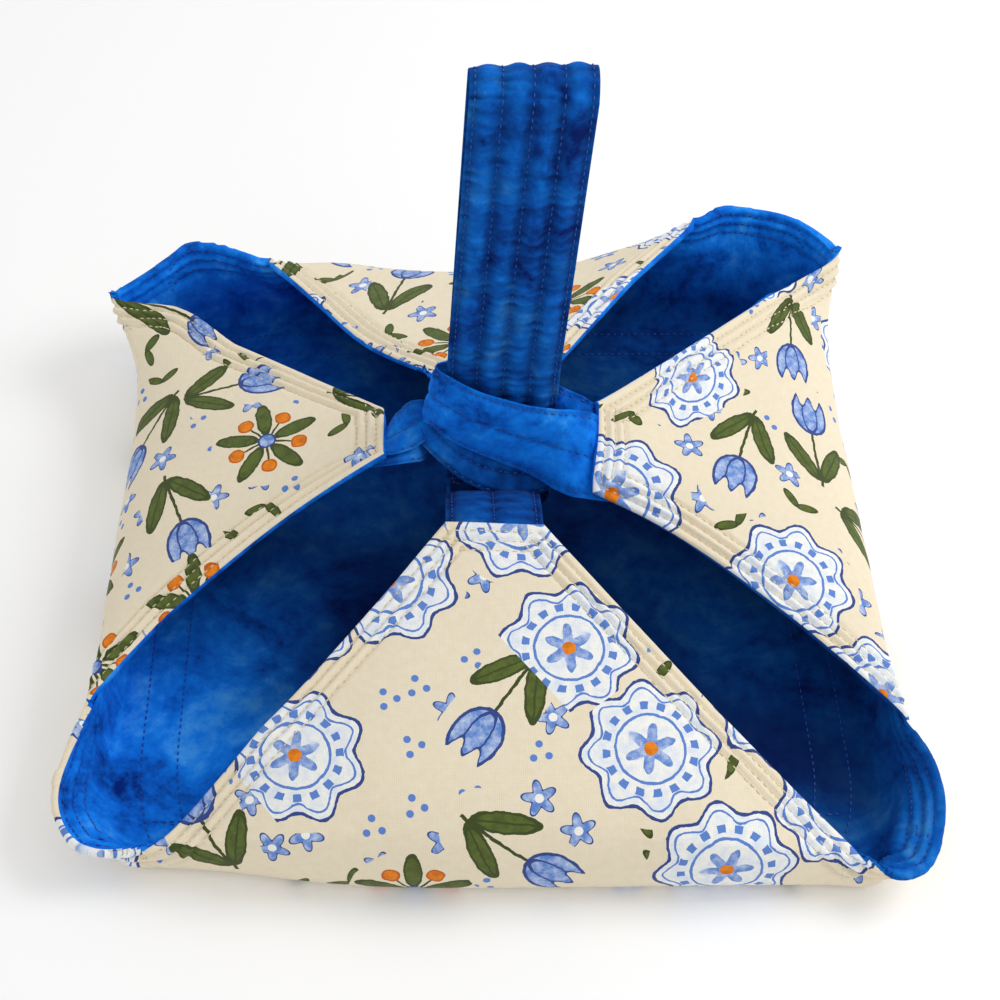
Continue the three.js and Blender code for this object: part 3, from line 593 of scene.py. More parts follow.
def trayGrid(rims, outs):
    c = cloth
    wall = np.linspace(0, math.pi / 2, c["wallRows"] + 1)
    length = c["wallStretch"] * c["rimHeight"]
    points, flats = [], []
    edge = rims - outs * c["wallLean"]
    edgeFlat = rims - outs * length
    for share in c["floorShares"]:
        points.append(edge * share)
        flats.append(edgeFlat * share)
    for a in wall:
        up = np.array([0, 0, c["rimHeight"] * (1 - math.cos(a))])
        points.append(rims - outs * c["wallLean"] * (1 - math.sin(a)) + up)
        flats.append(rims - outs * length * (1 - a / wall[-1]))
    points, flats = np.array(points), np.array(flats)
    return [np.concatenate([part, part[:, :1]], 1) for part in (points, flats)]    # joined up all round


def lipGrid(k, rims, outs, lips, flares):
    c = cloth
    first = k * (c["sideCells"] + c["cornerCells"]) + c["sideCells"]
    pick = np.arange(first, first + c["cornerCells"] + 1) % len(rims)
    q = topSpread(c["lipRows"])[:, None]
    height = lips[pick].copy()
    height[0] = sides[k]["heights"][1]
    height[-1] = sides[(k + 1) % 4]["heights"][0]
    outset = flares[pick] * q ** c["lipCurl"]
    z = c["rimHeight"] + (height - c["rimHeight"]) * q
    points = rims[pick] + outs[pick] * outset[..., None]
    points[..., 2] = z
    flats = rims[pick] + outs[pick] * (z - c["rimHeight"])[..., None]
    return points, flats


def addSheet(bm, layers, points, flats, tag, rolledRows=0):
    rows, columns = points.shape[0] - 1, points.shape[1] - 1
    made = bmesh.ops.create_grid(bm, x_segments=columns, y_segments=rows, size=1)["verts"]
    for face in {f for vert in made for f in vert.link_faces}:
        middle = face.calc_center_median()
        fromEdge = (1 - middle.y) / 2 * rows
        face[layers["piece"]] = tag
        narrowed = rolledRows * min(1, 4 * (1 - abs(middle.x)))    # narrower towards both ends
        face[layers["roll"]] = int(fromEdge < narrowed)
    for vert in made:
        i, j = round((vert.co.x + 1) / 2 * columns), round((vert.co.y + 1) / 2 * rows)
        vert.co = points[j, i]
        vert[layers["flatX"]], vert[layers["flatY"]] = flats[j, i][:2]


bm = bmesh.new()
layers = {"piece": bm.faces.layers.int.new("piece"), "sheet": bm.faces.layers.int.new("sheet"),
          "roll": bm.faces.layers.int.new("roll"), "hem": bm.faces.layers.int.new("hem"),
          "flatX": bm.verts.layers.float.new("flatX"), "flatY": bm.verts.layers.float.new("flatY"),
          # the last layer holds the amount of painted shade at each point
          "mate": bm.verts.layers.int.new("mate"), "paintedShade": bm.verts.layers.float.new("paintedShade")}
rims, outs, lips, flares = wallColumns()
addSheet(bm, layers, *trayGrid(rims, outs), 0)
for k in range(4):
    rolled = cloth["rolledRows"] if k == cloth["rolledLip"] else 0
    addSheet(bm, layers, *lipGrid(k, rims, outs, lips, flares), 0, rolled)
for k, side in enumerate(sides):
    addSheet(bm, layers, *flapGrid(side), k + 1)
bmesh.ops.remove_doubles(bm, verts=bm.verts, dist=cloth["weld"])
print("cloth laid out:", len(bm.verts), "points")

bm.verts.ensure_lookup_table()


def pulled(points):
    points = np.array(points, float)
    for at, move, reach in cloth["pulls"]:
        points += np.exp(-((points - at) ** 2).sum(1) / reach ** 2)[:, None] * np.array(move)
    return points


place = pulled([v.co for v in bm.verts])

# Each lip's edge is drawn through its marks, and the sheet round it goes along
edgeLoop = []
start = next(v for v in bm.verts if v.is_boundary)
last, here = None, start
while here is not start or last is None:
    edgeLoop.append(here)
    onward = (e.other_vert(here) for e in here.link_edges if e.is_boundary)
    last, here = here, next(v for v in onward if v is not last)
ring = place[[v.index for v in edgeLoop + edgeLoop[:1]]]
even = walk(ring, np.arange(0, runLength(ring)[-1], 1.0))
shift = np.zeros_like(even)
blur = np.arange(-cloth["lipBlur"], cloth["lipBlur"] + 1)
kernel = np.exp(-(blur / cloth["lipRound"]) ** 2)
kernel /= kernel.sum()
for chosen, turn in zip(cloth["lipEdges"], cloth["lipTurns"]):
    ends = [int(np.argmin(np.linalg.norm(even - chosen[k], axis=1))) for k in (0, -1)]
    ahead = (ends[1] - ends[0]) % len(even)
    way = 1 if ahead < len(even) / 2 else -1
    stretch = (ends[0] + way * np.arange((way * (ends[1] - ends[0])) % len(even) + 1)) % len(even)
    keys = [even[ends[0]], *chosen[1:-1], even[ends[1]]]
    curve = smoothPath([station(tuple(key), (0, 0, 1), 0, 0) for key in keys], 1.0)[:, :3]
    length = runLength(curve)
    share = np.linspace(0, length[-1], len(stretch))
    if turn:
        mark, k, hand = turn
        joint = onSide(sides[k], sides[k]["ends"][hand], sides[k]["rim"], sides[k]["heights"][hand])
        jointStep = np.argmin(np.linalg.norm(even[stretch] - pulled([joint]), axis=1))
        turnLength = length[np.argmin(np.linalg.norm(curve - chosen[mark], axis=1))]
        steps = (0, jointStep, len(stretch) - 1)
        share = np.interp(np.arange(len(stretch)), steps, (0, turnLength, length[-1]))
    # the goal is rounded off, together with a little of the edge before and after it
    beyond = np.arange(1, cloth["lipBlur"] + 1)
    before, after = (even[(ends[k] + hand * way * beyond) % len(even)] for k, hand in ((0, -1), (1, 1)))
    goal = np.vstack([before[::-1], walk(curve, share), after])
    goal = np.stack([np.convolve(goal[:, a], kernel, "valid") for a in range(3)], -1)
    shift[stretch] = goal - even[stretch]
evenTree = treeOf(even)
window = np.arange(-cloth["lipWindow"], cloth["lipWindow"] + 1)
for vert in bm.verts:
    at = place[vert.index]
    _, index, d = evenTree.find(at)
    if d < 3 * cloth["lipDepth"]:
        near = (index + window) % len(even)
        weight = np.exp((d * d - ((even[near] - at) ** 2).sum(1)) / cloth["lipBlend"] ** 2)
        move = (shift[near] * weight[:, None]).sum(0) / weight.sum() if d > 0.5 else shift[index]
        move = move * math.exp(-(d / cloth["lipDepth"]) ** 2)
        vert.co = at + move
        vert[layers["flatX"]] += move[0]
        vert[layers["flatY"]] += move[1]
    else:
        vert.co = at
bm.normal_update()

# Distance from the sewn edge
edgePoints, edgeInward, edgeUp = [], [], []
for a, b in zip(edgeLoop, edgeLoop[1:] + edgeLoop[:1]):
    face = next(e for e in a.link_edges if e.other_vert(a) is b).link_faces[0]
    along = (b.co - a.co).normalized()
    inward = face.calc_center_median() - a.co
    inward = (inward - along * inward.dot(along)).normalized()
    steps = max(1, round((b.co - a.co).length / cloth["edgeStep"]))
    for s in range(steps):
        edgePoints.append(a.co.lerp(b.co, s / steps))
        edgeInward.append(inward)
        edgeUp.append(face.normal.copy())
edgeTree = treeOf(edgePoints)
print("sewn edge:", round(cloth["edgeStep"] * len(edgePoints)), "mm, of", len(edgeLoop), "points")


# Where each face of the cloth lies, as depths below the sheet's own surface
def clothDepths(d):
    c = cloth
    thick = c["edgeThickness"] + (c["thickness"] - c["edgeThickness"]) * smoothStep(d, *c["edgeBand"])
    middle = thick / 2
    ease = np.sqrt(np.clip(1 - (1 - np.clip(d / c["edgeRound"], 0, 1)) ** 2, 0, 1))
    half = thick / 2 * ease
    rows = np.array(c["stitchRows"])
    sewn = np.exp(-((d[:, None] - rows) / c["grooveWidth"]) ** 2).sum(1)
    puffed = np.exp(-((d[:, None] - (rows[:-1] + rows[1:]) / 2) / c["ridgeWidth"]) ** 2).sum(1)
    half = half - c["groove"] * sewn + c["ridge"] * puffed
    return middle - half, middle + half


bm.verts.ensure_lookup_table()
bm.verts.index_update()
place = np.array([v.co for v in bm.verts])
normal = np.array([v.normal for v in bm.verts])
edgeNear = [edgeTree.find(v.co) for v in bm.verts]
edgeDistance = np.array([near[2] for near in edgeNear])
sag = billow(place, cloth["sagLength"], cloth["sagSeed"])
sag += cloth["smallSag"] * billow(place, cloth["smallSagLength"], cloth["smallSagSeed"])
atEdge = cloth["sagAtEdge"]
lift = atEdge + (1 - atEdge) * smoothStep(edgeDistance, *cloth["sagBand"])
lift *= smoothStep(place[:, 2], *cloth["sagHeights"])
pucker = billow(place, cloth["puckerLength"])
gatherPlace = [(near[1] * cloth["edgeStep"] / cloth["gatherLength"], near[2] / cloth["gatherDepth"], 0.5)
               for near in edgeNear]
gather = billow(gatherPlace, 1)
gather *= smoothStep(np.abs(place[:, :2]).min(1), *cloth["gatherFrom"])    # on the eased-in edges of the lips
bandStart, bandEnd = cloth["sewnBand"]
band = smoothStep(edgeDistance, *bandStart) * (1 - smoothStep(edgeDistance, *bandEnd))
creased = (cloth["pucker"] * pucker + cloth["gather"] * gather) * band
place += normal * (cloth["sag"] * sag * lift + creased)[:, None]
outerDepth, innerDepth = clothDepths(edgeDistance)
outerPlace = place - normal * outerDepth[:, None]
innerPlace = place - normal * innerDepth[:, None]
outerPlace[:, 2] = np.maximum(outerPlace[:, 2], 0.0)

paintedShade = cloth["paintedShade"] * smoothStep(edgeDistance, *cloth["shadeBand"])    # painted shade, growing away from the sewn edges into the panels, where the flaps and walls shade the lining
# painted shadow pooled under the right flap and beside the front loop, taken back in the front left and back
# left pockets, where light falls
for at, amount, reach in cloth["lightAndShadePools"]:
    paintedShade += amount * np.exp(-((place[:, :2] - at) ** 2).sum(1) / reach ** 2)
paintedShade = np.clip(paintedShade, 0, cloth["shadeMost"])
for k, vert in enumerate(bm.verts):
    vert[layers["mate"]], vert[layers["paintedShade"]] = k, paintedShade[k]
onEdge = [v for v in bm.verts if v.is_boundary]
for face in {f for vert in onEdge for f in vert.link_faces}:
    face[layers["hem"]] = 1
copied = bmesh.ops.duplicate(bm, geom=bm.verts[:] + bm.edges[:] + bm.faces[:])
innerFaces = [g for g in copied["geom"] if isinstance(g, bmesh.types.BMFace)]
for face in innerFaces:
    face[layers["sheet"]] = 1
welds = {copied["vert_map"][v]: v for v in onEdge}
bmesh.ops.reverse_faces(bm, faces=innerFaces)
innerVerts = {v for face in innerFaces for v in face.verts}
for vert in bm.verts:
    vert.co = (innerPlace if vert in innerVerts else outerPlace)[vert[layers["mate"]]]
bmesh.ops.weld_verts(bm, targetmap=welds)
bm.normal_update()
print("cloth quilted:", len(bm.faces), "faces")

clothTree = BVHTree.FromBMesh(bm)
bm.faces.ensure_lookup_table()
faceFacts = [(face[layers["piece"]], face[layers["sheet"]]) for face in bm.faces]


def cutPiece(source, tag, name):
    part = source.copy()
    faceLayers = (part.faces.layers.int[name] for name in ("piece", "sheet", "roll", "hem"))
    tagLayer, sheetLayer, rollLayer, hemLayer = faceLayers
    mate = part.verts.layers.int["mate"]
    flatX, flatY = part.verts.layers.float["flatX"], part.verts.layers.float["flatY"]
    bmesh.ops.delete(part, geom=[f for f in part.faces if f[tagLayer] != tag], context="FACES")
    uv = part.loops.layers.uv.new("flat")
    for face in part.faces:
        # the lining shows as a thin line along the edge, and the print a little inside the front left lip
        face.material_index = 0 if face[rollLayer] or not (face[sheetLayer] or face[hemLayer]) else 1
        for loop in face.loops:
            loop[uv].uv = (loop.vert[flatX] * mm, loop.vert[flatY] * mm)
    # The cut side, hidden against the next piece, is closed between the two faces of the cloth
    border = [e for e in part.edges if e.is_boundary]
    inner = {v[mate]: v for e in border if e.link_faces[0][sheetLayer] for v in e.verts}
    for edge in border:
        if edge.link_faces[0][sheetLayer]:
            continue
        loop = edge.link_loops[0]
        a, b = loop.vert, loop.link_loop_next.vert
        ring = [b, a, inner.get(a[mate], a), inner.get(b[mate], b)]
        ring = [v for k, v in enumerate(ring) if v is not ring[k - 1]]
        if len(set(ring)) > 2:
            part.faces.new(ring).material_index = 1
    for edge in border:
        edge.smooth = False
    return finishPiece(name, part, [printedCotton, dyedCotton])


tray = cutPiece(bm, 0, "trayCloth")
flaps = {side["name"]: cutPiece(bm, k + 1, side["name"] + "FlapCloth") for k, side in enumerate(sides)}
print("cloth cut into", 1 + len(flaps), "pieces")


# Stitches: short beads of thread lying in the grooves

stitch = {"length": 2.6, "gap": 1.1, "radius": 0.42, "proud": 0.15, "segments": (6, 3), "run": 40,
          "sight": 9, "sightReach": 16, "offRow": 3.4, "offCloth": 0.7, "smoothing": 4}


def sew(name, places, material):
    whole = bmesh.new()
    around, ends = stitch["segments"]
    for start in range(0, len(places), stitch["run"]):    # in short runs, which bmesh adds faster
        run = bmesh.new()
        for at, along, up in places[start:start + stitch["run"]]:
            along = (along - up * along.dot(up)).normalized()
            half, radius = stitch["length"] / 2, stitch["radius"]
            matrix = Matrix((along * half, up.cross(along) * radius, up * radius)).transposed().to_4x4()
            matrix.translation = at + up * stitch["proud"]
            bmesh.ops.create_uvsphere(run, u_segments=around, v_segments=ends, radius=1, matrix=matrix)
        spare = bpy.data.meshes.new(name + "Run")
        run.to_mesh(spare)
        run.free()
        whole.from_mesh(spare)
        bpy.data.meshes.remove(spare)
    return finishPiece(name, whole, [material])


threadWork = {(tag, sheet): [] for tag in range(5) for sheet in range(2)}
stitchPitch = stitch["length"] + stitch["gap"]
travel = np.cumsum([(edgePoints[k] - edgePoints[k - 1]).length for k in range(len(edgePoints))])
count = round(travel[-1] / stitchPitch)
for mark in np.interp(np.arange(count) * travel[-1] / count, travel, np.arange(len(edgePoints))):
    k = int(mark)
    near = [(k + step) % len(edgePoints) for step in range(-stitch["smoothing"], stitch["smoothing"] + 1)]
    at = edgePoints[k]
    along = (edgePoints[near[-1]] - edgePoints[near[0]]).normalized()
    inward = sum((edgeInward[n] for n in near), Vector()).normalized()
    up = sum((edgeUp[n] for n in near), Vector()).normalized()
    for row in cloth["stitchRows"]:
        for sheet, way in ((0, -up), (1, up)):
            eye = at + inward * row - way * stitch["sight"] - up * cloth["thickness"] / 2
            spot, facing, face, _ = clothTree.ray_cast(eye, way, stitch["sightReach"])
            if spot is None or faceFacts[face][1] != sheet:
                continue
            if abs(edgeTree.find(spot)[2] - row) > stitch["offRow"]:
                continue
            reach = along * stitch["length"] / 2
            if max(clothTree.find_nearest(spot + end)[3] for end in (reach, -reach)) > stitch["offCloth"]:
                continue
            threadWork[(faceFacts[face][0], sheet)].append((spot, along, facing))
for inset in cloth["quiltInsets"]:
    route = rims - outs * inset
    route = np.vstack([route, route[:1]])
    trail = walk(route, np.arange(0, runLength(route)[-1], stitchPitch))[:, :2]
    for here, ahead in zip(trail, np.roll(trail, -1, axis=0)):
        spot, facing, face, _ = clothTree.ray_cast(Vector((*here, cloth["rimHeight"])), Vector((0, 0, -1)))
        if spot is not None and faceFacts[face] == (0, 1):
            threadWork[(0, 1)].append((spot, Vector((*(ahead - here), 0)).normalized(), facing))
print("stitches:", sum(len(work) for work in threadWork.values()))

threads = {}
for (tag, sheet), work in threadWork.items():
    owner = "tray" if tag == 0 else sides[tag - 1]["name"] + "Flap"
    name = owner + ("OuterStitches" if sheet == 0 else "LiningStitches")
    threads[(tag, sheet)] = sew(name, work, creamThread if sheet == 0 else blueThread)


# Straps: swept along a smooth run of stations, with rows of stitches pulled into both faces

def makeStrap(name, keys, look, paintedShade):
    path, rows = smoothPath(keys, look["pitch"]), look["rows"]
    middle, across, width, thick = path[:, :3], path[:, 3:6], path[:, 6], path[:, 7]
    forward = np.gradient(middle, axis=0)
    forward /= np.linalg.norm(forward, axis=1, keepdims=True)
    across = across - forward * (across * forward).sum(1, keepdims=True)
    across /= np.linalg.norm(across, axis=1, keepdims=True)
    through = np.cross(forward, across)
    half = look["sectionCells"]
    u = -np.cos(np.linspace(0, math.pi, half + 1))
    u = np.concatenate([u, u[::-1][1:]])
    face = np.concatenate([np.ones(half + 1), -np.ones(half)])
    edge = np.sqrt(np.clip(1 - np.abs(u) ** look["square"], 0, 1))
    travelled = runLength(middle)
    points = np.empty((len(path), len(u), 3))
    dyeShade = np.empty((len(path), len(u)))
    for j in range(len(path)):
        # painted shade along the strap, from the amount at its ends to the amount at the middle of its run
        shadeAlong = paintedShade[0] + (paintedShade[1] - paintedShade[0]) * math.sin(math.pi * travelled[j] / travelled[-1]) ** 2
        x = u * width[j] / 2
        squeeze = width[j] / look["width"]
        sewn = sum(np.exp(-((x / squeeze - row) / look["grooveWidth"]) ** 2) for row in rows)
        depth = thick[j] / 2 * edge * (1 - look["groove"] * np.clip(sewn, 0, 1))
        for i in range(len(u)):
            spot = (x[i] / look["wrinkleWide"], travelled[j] / look["wrinkle"], look["faceSeed"] * face[i])
            ripple = noise.noise(Vector(spot))
            depth[i] += look["wrinkleDepth"] * ripple * edge[i]
            # painted shade in the stitched grooves and the wrinkle valleys, less on the wrinkle crests
            dyeShade[j, i] = shadeAlong + look["rowShade"] * min(sewn[i], 1) - look["wrinkleShade"] * ripple
        points[j] = middle[j] + across[j] * x[:, None] + through[j] * (face * depth)[:, None]
    strap = bmesh.new()
    paintedShadeLayer = strap.verts.layers.float.new("paintedShade")
    made = bmesh.ops.create_grid(strap, x_segments=len(u) - 1, y_segments=len(path) - 1, size=1)["verts"]
    for vert in made:
        i, j = round((vert.co.x + 1) / 2 * (len(u) - 1)), round((vert.co.y + 1) / 2 * (len(path) - 1))
        vert.co = points[j, i]
        vert[paintedShadeLayer] = min(max(dyeShade[j, i], 0), cloth["shadeMost"])
    bmesh.ops.remove_doubles(strap, verts=strap.verts, dist=look["weld"])
    bmesh.ops.holes_fill(strap, edges=[e for e in strap.edges if e.is_boundary])
    bmesh.ops.recalc_face_normals(strap, faces=strap.faces)
    work = []
    spacing = np.arange(stitchPitch, travelled[-1] - stitchPitch, stitchPitch)
    for mark in np.interp(spacing, travelled, np.arange(len(path))):
        j = int(round(mark))
        for row in rows:
            x = row * width[j] / look["width"]
            side = np.argmin(np.abs(u[:half + 1] * width[j] / 2 - x))
            for sign, index in ((1, side), (-1, 2 * half - side)):
                work.append((Vector(points[j, index]), Vector(forward[j]), Vector(through[j] * sign)))
    return finishPiece(name, strap, [dyedCotton]), sew(name + "Stitches", work, blueThread)


# the row and wrinkle amounts after the wrinkle depth are painted shade in the stitched grooves and the
# wrinkle valleys
loopLook = {"width": 44, "pitch": 1.3, "sectionCells": 30, "square": 5, "groove": 0.66, "grooveWidth": 2.1,
            "wrinkle": 4.5, "wrinkleWide": 13, "wrinkleDepth": 0.3, "rowShade": 0.22, "wrinkleShade": 0.2,
            "faceSeed": 4, "weld": 0.004, "rows": (-19.5, 0, 19.5)}
handleLook = {"width": 51, "pitch": 1.0, "sectionCells": 44, "square": 6, "groove": 0.78, "grooveWidth": 3.1,
              "wrinkle": 2.6, "wrinkleWide": 12, "wrinkleDepth": 0.9, "rowShade": 0.34, "wrinkleShade": 0.26,
              "faceSeed": 4, "weld": 0.004, "rows": (-23.5, -12, 0, 12, 23.5)}

rightKeys = [
    station((57, -4, 75.4), (0.1, 0.93, 0.36), 39, 2.2),
    station((48.5, -4.4, 78.2), (0.1, 0.92, 0.38), 40, 2.6),
    station((43, -4.4, 81), (0.1, 0.83, 0.54), 41, 3.2),
    station((36, -3.2, 83), (0.09, 0.66, 0.75), 39, 3.6),
    station((24.6, -0.8, 85.8), (0.05, 0.25, 0.97), 38, 3.6),
    station((8, 0.4, 91.4), (0.08, 0.05, 1), 37, 3.6),
    station((-10, 0.8, 100.2), (0.1, 0, 0.99), 35, 3.6),
    station((-21.5, 3.2, 107), (0.18, 0, 0.98), 33, 3.6),
    station((-28.4, 9.5, 108), (0.2, 0, 0.98), 33, 3.6),
    station((-22, 15.8, 105), (0.15, 0, 0.99), 36, 3.6),
    station((-6, 17.4, 101), (0.1, 0, 1), 38, 3.6),
    station((14, 17.6, 93), (0.05, 0, 1), 40, 3.6),
    station((28, 15, 86), (0.05, 0.2, 0.98), 37, 3.6),
    station((38, 11.4, 85.2), (0.09, 0.6, 0.8), 29, 3.4),
    station((46, 8.4, 82.4), (0.1, 0.84, 0.5), 25, 2.8),
    station((57, 6.5, 77.6), (0.1, 0.88, 0.46), 23, 2.2),
]
leftKeys = [
    station((-57, 4.5, 80.4), (0, 0.95, -0.31), 27, 2.2),
    station((-49.5, 4.6, 82.4), (0, 0.96, -0.26), 26, 2.6),
    station((-44.5, 5.2, 85), (0.02, 0.98, 0.1), 23, 3.2),
    station((-39, 6.4, 88.4), (0.05, 0.86, 0.5), 21, 3.6),
    station((-31.6, 7.4, 92.6), (0.08, 0.56, 0.82), 19, 3.6),
    station((-20, 1.4, 81.8), (0.1, 0.62, 0.78), 17, 3.6),
    station((-9, -0.8, 73.2), (0, 0.62, 0.78), 19.5, 3.6),
    station((4, -1.6, 68), (0, 0.64, 0.77), 22.5, 3.6),
    station((16, -1.6, 66.8), (0, 0.64, 0.77), 22.5, 3.6),
    station((25.5, 0, 67.6), (0, 0.6, 0.8), 19, 3.6),
    station((32, 4.8, 69.4), (0, 0.25, 0.97), 18, 3.6),
    station((34.8, 10.4, 70), (0, 0, 1), 21, 3.6),
    station((29, 15.6, 70), (0, 0, 1), 23, 3.6),
    station((8, 16.4, 70), (0, 0, 1), 23, 3.6),
    station((-14, 16.2, 73), (0, 0.1, 0.99), 23, 3.6),
    station((-27, 12, 80), (0.05, 0.55, 0.83), 20, 3.6),
    station((-37, 3.6, 82.6), (0.05, 0.86, 0.5), 20, 3.6),
    station((-45.5, 0.6, 80.4), (0, 0.98, -0.1), 22, 3),
    station((-57, 1.4, 76.8), (0, 0.95, -0.31), 25, 2.2),
]
frontKeys = [
    station((0, -53, 81), (1, 0, 0), 44, 2.2),
    station((0, -43, 78.2), (1, 0, 0), 44, 3.2),
    station((0, -30, 73.6), (1, 0, 0), 44, 3.6),
    station((0, -17, 67), (1, 0, 0), 44, 3.6),
    station((0, -8, 59.4), (1, 0, 0.02), 43, 3.6),
    station((-3, -2.5, 53.6), (0.97, 0, 0.25), 36, 3.6),
    station((-9, 2, 49), (0.6, 0, 0.8), 21, 3.6),
    station((-15, 4.8, 46.4), (0.15, 0, 0.99), 13, 3.6),
    station((-17.6, 10, 45), (0, 0, 1), 12, 3.6),
    station((-14, 16.6, 44.5), (0, 0, 1), 13, 3.6),
    station((4.5, 17.2, 44.5), (0, 0, 1), 14, 3.6),
    station((23, 16.6, 44.5), (0, 0, 1), 13, 3.6),
    station((26.6, 10, 44.5), (0, 0, 1), 12, 3.6),
    station((24, 4.5, 44), (0.15, 0, 0.99), 13, 3.6),
    station((14, 0.6, 44), (0.6, 0, 0.8), 21, 3.6),
    station((5, -4, 48), (0.97, 0, 0.25), 36, 3.6),
    station((0, -9.5, 53), (1, 0, 0.02), 43, 3.6),
    station((0, -18, 61), (1, 0, 0), 44, 3.6),
    station((0, -31, 68.6), (1, 0, 0), 44, 3.6),
    station((0, -44, 74.4), (1, 0, 0), 44, 3.2),
    station((0, -53, 78.4), (1, 0, 0), 44, 2.2),
]
# painted shadow on the loops, at their ends and at the middle of their run: the left loop lies under the
# right loop, the front loop under the right loop and the handle
loopShade = {"right": (0, 0), "left": (0.25, 0.74), "front": (0.6, 0.95)}
loops = {}
for name, keys in (("right", rightKeys), ("left", leftKeys), ("front", frontKeys)):
    loops[name] = makeStrap(name + "Loop", keys, loopLook, loopShade[name])
print("loops sewn")

# Handle: up in front, over the top and down behind; its foot goes down under the knot to the back flap.
# The foot and the neck give a height, how far the two sides are from the middle, and a thickness.
handle = {
    "x": 4.5, "y": 10, "width": 51, "thick": 6.4, "pivot": 122, "top": 283, "spread": 22, "lean": 3,
    "slant": 0.6, "foot": (108, 1.9, 3.4), "neck": (118, 2.1, 3.8), "heights": (130, 150, 180, 210, 240),
    # the pair at the end of the next line is painted shade on the handle, at its ends and at the middle of
    # its run
    "pressed": 0.5, "sunk": 0.25, "paintedShade": (0.42, 0.36),
    # y, z, width and thickness, from the back flap's tip down, and up through the loops
    "leg": ((44, 81, 51, 6.4), (40.5, 77.5, 51, 6.8), (36.5, 68, 51, 7), (32, 52, 51, 7), (30, 42, 51, 7)),
    "riser": ((30, 43, 51, 7), (29.2, 37, 51, 7), (25, 32.3, 51, 7), (20, 31, 51, 7), (15, 32.3, 46, 7),
              (10.8, 37, 40, 7), (10, 44, 39, 7), (10, 70, 47, 7), (10, 112, 51, 7)),
}


def handleKeys(h):
    lean = math.tan(math.radians(h["lean"]))
    radius = h["spread"] / 2
    crown = h["top"] - h["sunk"] * h["thick"] - radius
    neck, neckGap = h["neck"][:2]

    def key(gap, z, slant, thick):
        x = h["x"] + max(z - h["pivot"], 0) * lean
        return station((x, h["y"] + gap, z), (1, 0, slant), h["width"], thick)

    def oneSide(hand):
        keys = [key(hand * gap, z, 0, thick) for z, gap, thick in (h["foot"], h["neck"])]
        for z in h["heights"]:
            share = (z - neck) / (crown - neck)
            keys.append(key(hand * (neckGap + (radius - neckGap) * share), z, lean * h["slant"], h["thick"]))
        return keys

    fold = []
    for a in range(180, -1, -30):
        gap, z = radius * math.cos(math.radians(a)), crown + radius * math.sin(math.radians(a))
        fold.append(key(gap, z, lean * h["slant"], h["pressed"] * h["thick"]))    # pressed flat at the fold
    return oneSide(-1) + fold + oneSide(1)[::-1]


def footKeys(places):
    return [station((handle["x"], y, z), (1, 0, 0), width, thick) for y, z, width, thick in places]


handleStrap = makeStrap("handleStrap", handleKeys(handle), handleLook, handle["paintedShade"])
riserStrap = makeStrap("handleFoot", footKeys(handle["riser"]), handleLook, handle["paintedShade"])
legStrap = makeStrap("handleLeg", footKeys(handle["leg"]), handleLook, handle["paintedShade"])
print("handle sewn")


# What each piece moves with

layerNames = ("outer", "batting", "thermal_layer", "lining")


# A flap bends from its fold inwards and up, beginning above the ends that are sewn to the lips
def bendPoint(side, reach):
    slope = math.radians(cloth["bendSlope"])
    out, z = side["rim"] - reach * math.cos(slope), cloth["rimHeight"] + reach * math.sin(slope)
    return tuple(float(c) * mm for c in onSide(side, 0, out, z))


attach(tray, "base")
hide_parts(*[part + layer for part in ("base_", "wall_") for layer in layerNames])
for sheet in range(2):
    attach(threads[(0, sheet)], "base")
for k, side in enumerate(sides):
    piece, body = flaps[side["name"]], side["name"] + "_flap"
    start, end = bendPoint(side, side["bendStart"]), bendPoint(side, cloth["bendEnd"])
    for part in (piece, threads[(k + 1, 0)], threads[(k + 1, 1)]):
        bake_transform(part, "base", body, start=start, end=end)
    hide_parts(*[body + "_" + layer for layer in layerNames])
for name, (strap, sewing) in loops.items():
    for part in (strap, sewing):
        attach(part, name + "_flap")
    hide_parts(name + "_loop_cover", name + "_loop_core")
bends = {
    "handle": (handleStrap, "handle_riser", "handle", (0, 0.01, 0.113), (0, 0.01, 0.136)),
    "handle_riser": (riserStrap, "handle_leg", "handle_riser", (0, 0.029, 0.03), (0, 0.011, 0.03)),
    "handle_leg": (legStrap, "back_flap", "handle_leg", (0, 0.044, 0.08), (0, 0.037, 0.066)),
}
for node, ((strap, sewing), before, after, start, end) in bends.items():
    for part in (strap, sewing):
        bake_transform(part, before, after, start=start, end=end)
    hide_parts(node + "_cover", node + "_core")
print("pieces placed on their bodies")


# Studio: pale floor, one broad soft lamp and an even sky

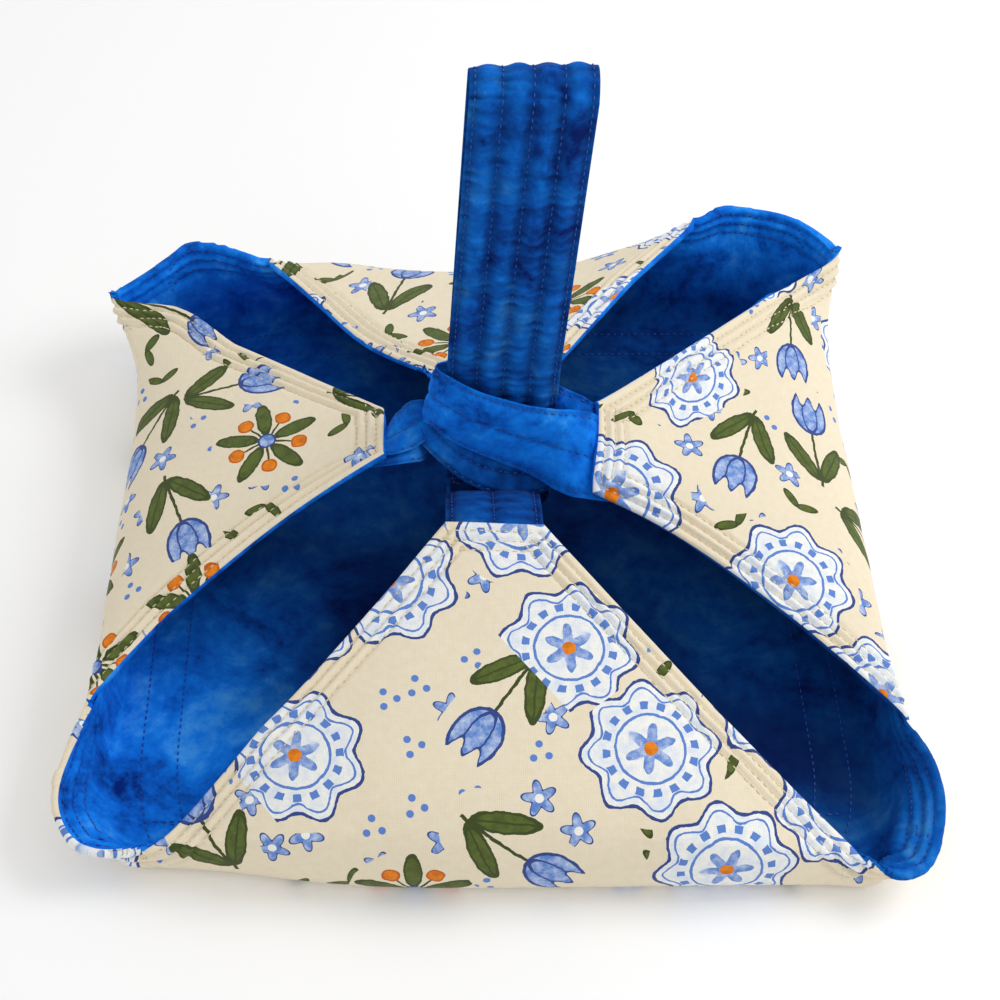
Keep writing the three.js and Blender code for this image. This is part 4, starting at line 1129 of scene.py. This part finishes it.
studio = {"floor": "#FBFBFB", "floorSize": 6000, "floorDrop": 0.6, "sky": 0.76, "glow": 0.05,
          "keyWatts": 8.5, "keySize": 0.7, "keyAt": (1.05, 0.12, 1.08), "keyAim": (0, 0, 0.05)}


def addKey(look):
    data = bpy.data.lights.new("softKey", "AREA")
    data.energy, data.size = look["keyWatts"], look["keySize"]
    lamp = bpy.data.objects.new("softKey", data)
    lamp.location = look["keyAt"]
    lamp.rotation_euler = (Vector(look["keyAim"]) - lamp.location).to_track_quat("-Z", "Y").to_euler()
    bpy.context.scene.collection.objects.link(lamp)


def seenDirectly(tree):
    rays = addNode(tree, "LightPath")
    seen = rays["Is Camera Ray"]
    for mirrored in ("Is Glossy Ray", "Is Transmission Ray"):
        seen = addNode(tree, "Math", {0: seen, 1: rays[mirrored]}, operation="MAXIMUM")[0]
    return seen


def makeStudio(look):
    floorMesh = bmesh.new()
    bmesh.ops.create_grid(floorMesh, x_segments=1, y_segments=1, size=look["floorSize"])
    bmesh.ops.translate(floorMesh, vec=(0, 0, -look["floorDrop"]), verts=floorMesh.verts)
    material, tree = newMaterial("paleFloor")
    glow = addNode(tree, "Math", {0: seenDirectly(tree), 1: look["glow"]}, operation="MULTIPLY")[0]
    shader = addNode(tree, "BsdfPrincipled", {
        "Base Color": linear(look["floor"]), "Roughness": 0.9, "Emission Color": (1, 1, 1, 1),
        "Emission Strength": glow})[0]
    addNode(tree, "OutputMaterial", {0: shader})
    finishPiece("floor", floorMesh, [material], smooth=False)
    world = bpy.data.worlds.new("studioSky")
    bpy.context.scene.world = world
    world.use_nodes = True
    world.node_tree.nodes.clear()
    seen = seenDirectly(world.node_tree)
    strength = addNode(world.node_tree, "MapRange", {0: seen, 3: look["sky"], 4: 1.0})[0]
    sky = addNode(world.node_tree, "Background", {0: (1, 1, 1, 1), 1: strength})[0]
    addNode(world.node_tree, "OutputWorld", {0: sky})
    addKey(look)


makeStudio(studio)
bpy.context.scene.view_settings.view_transform = "Standard"
print("studio lit")
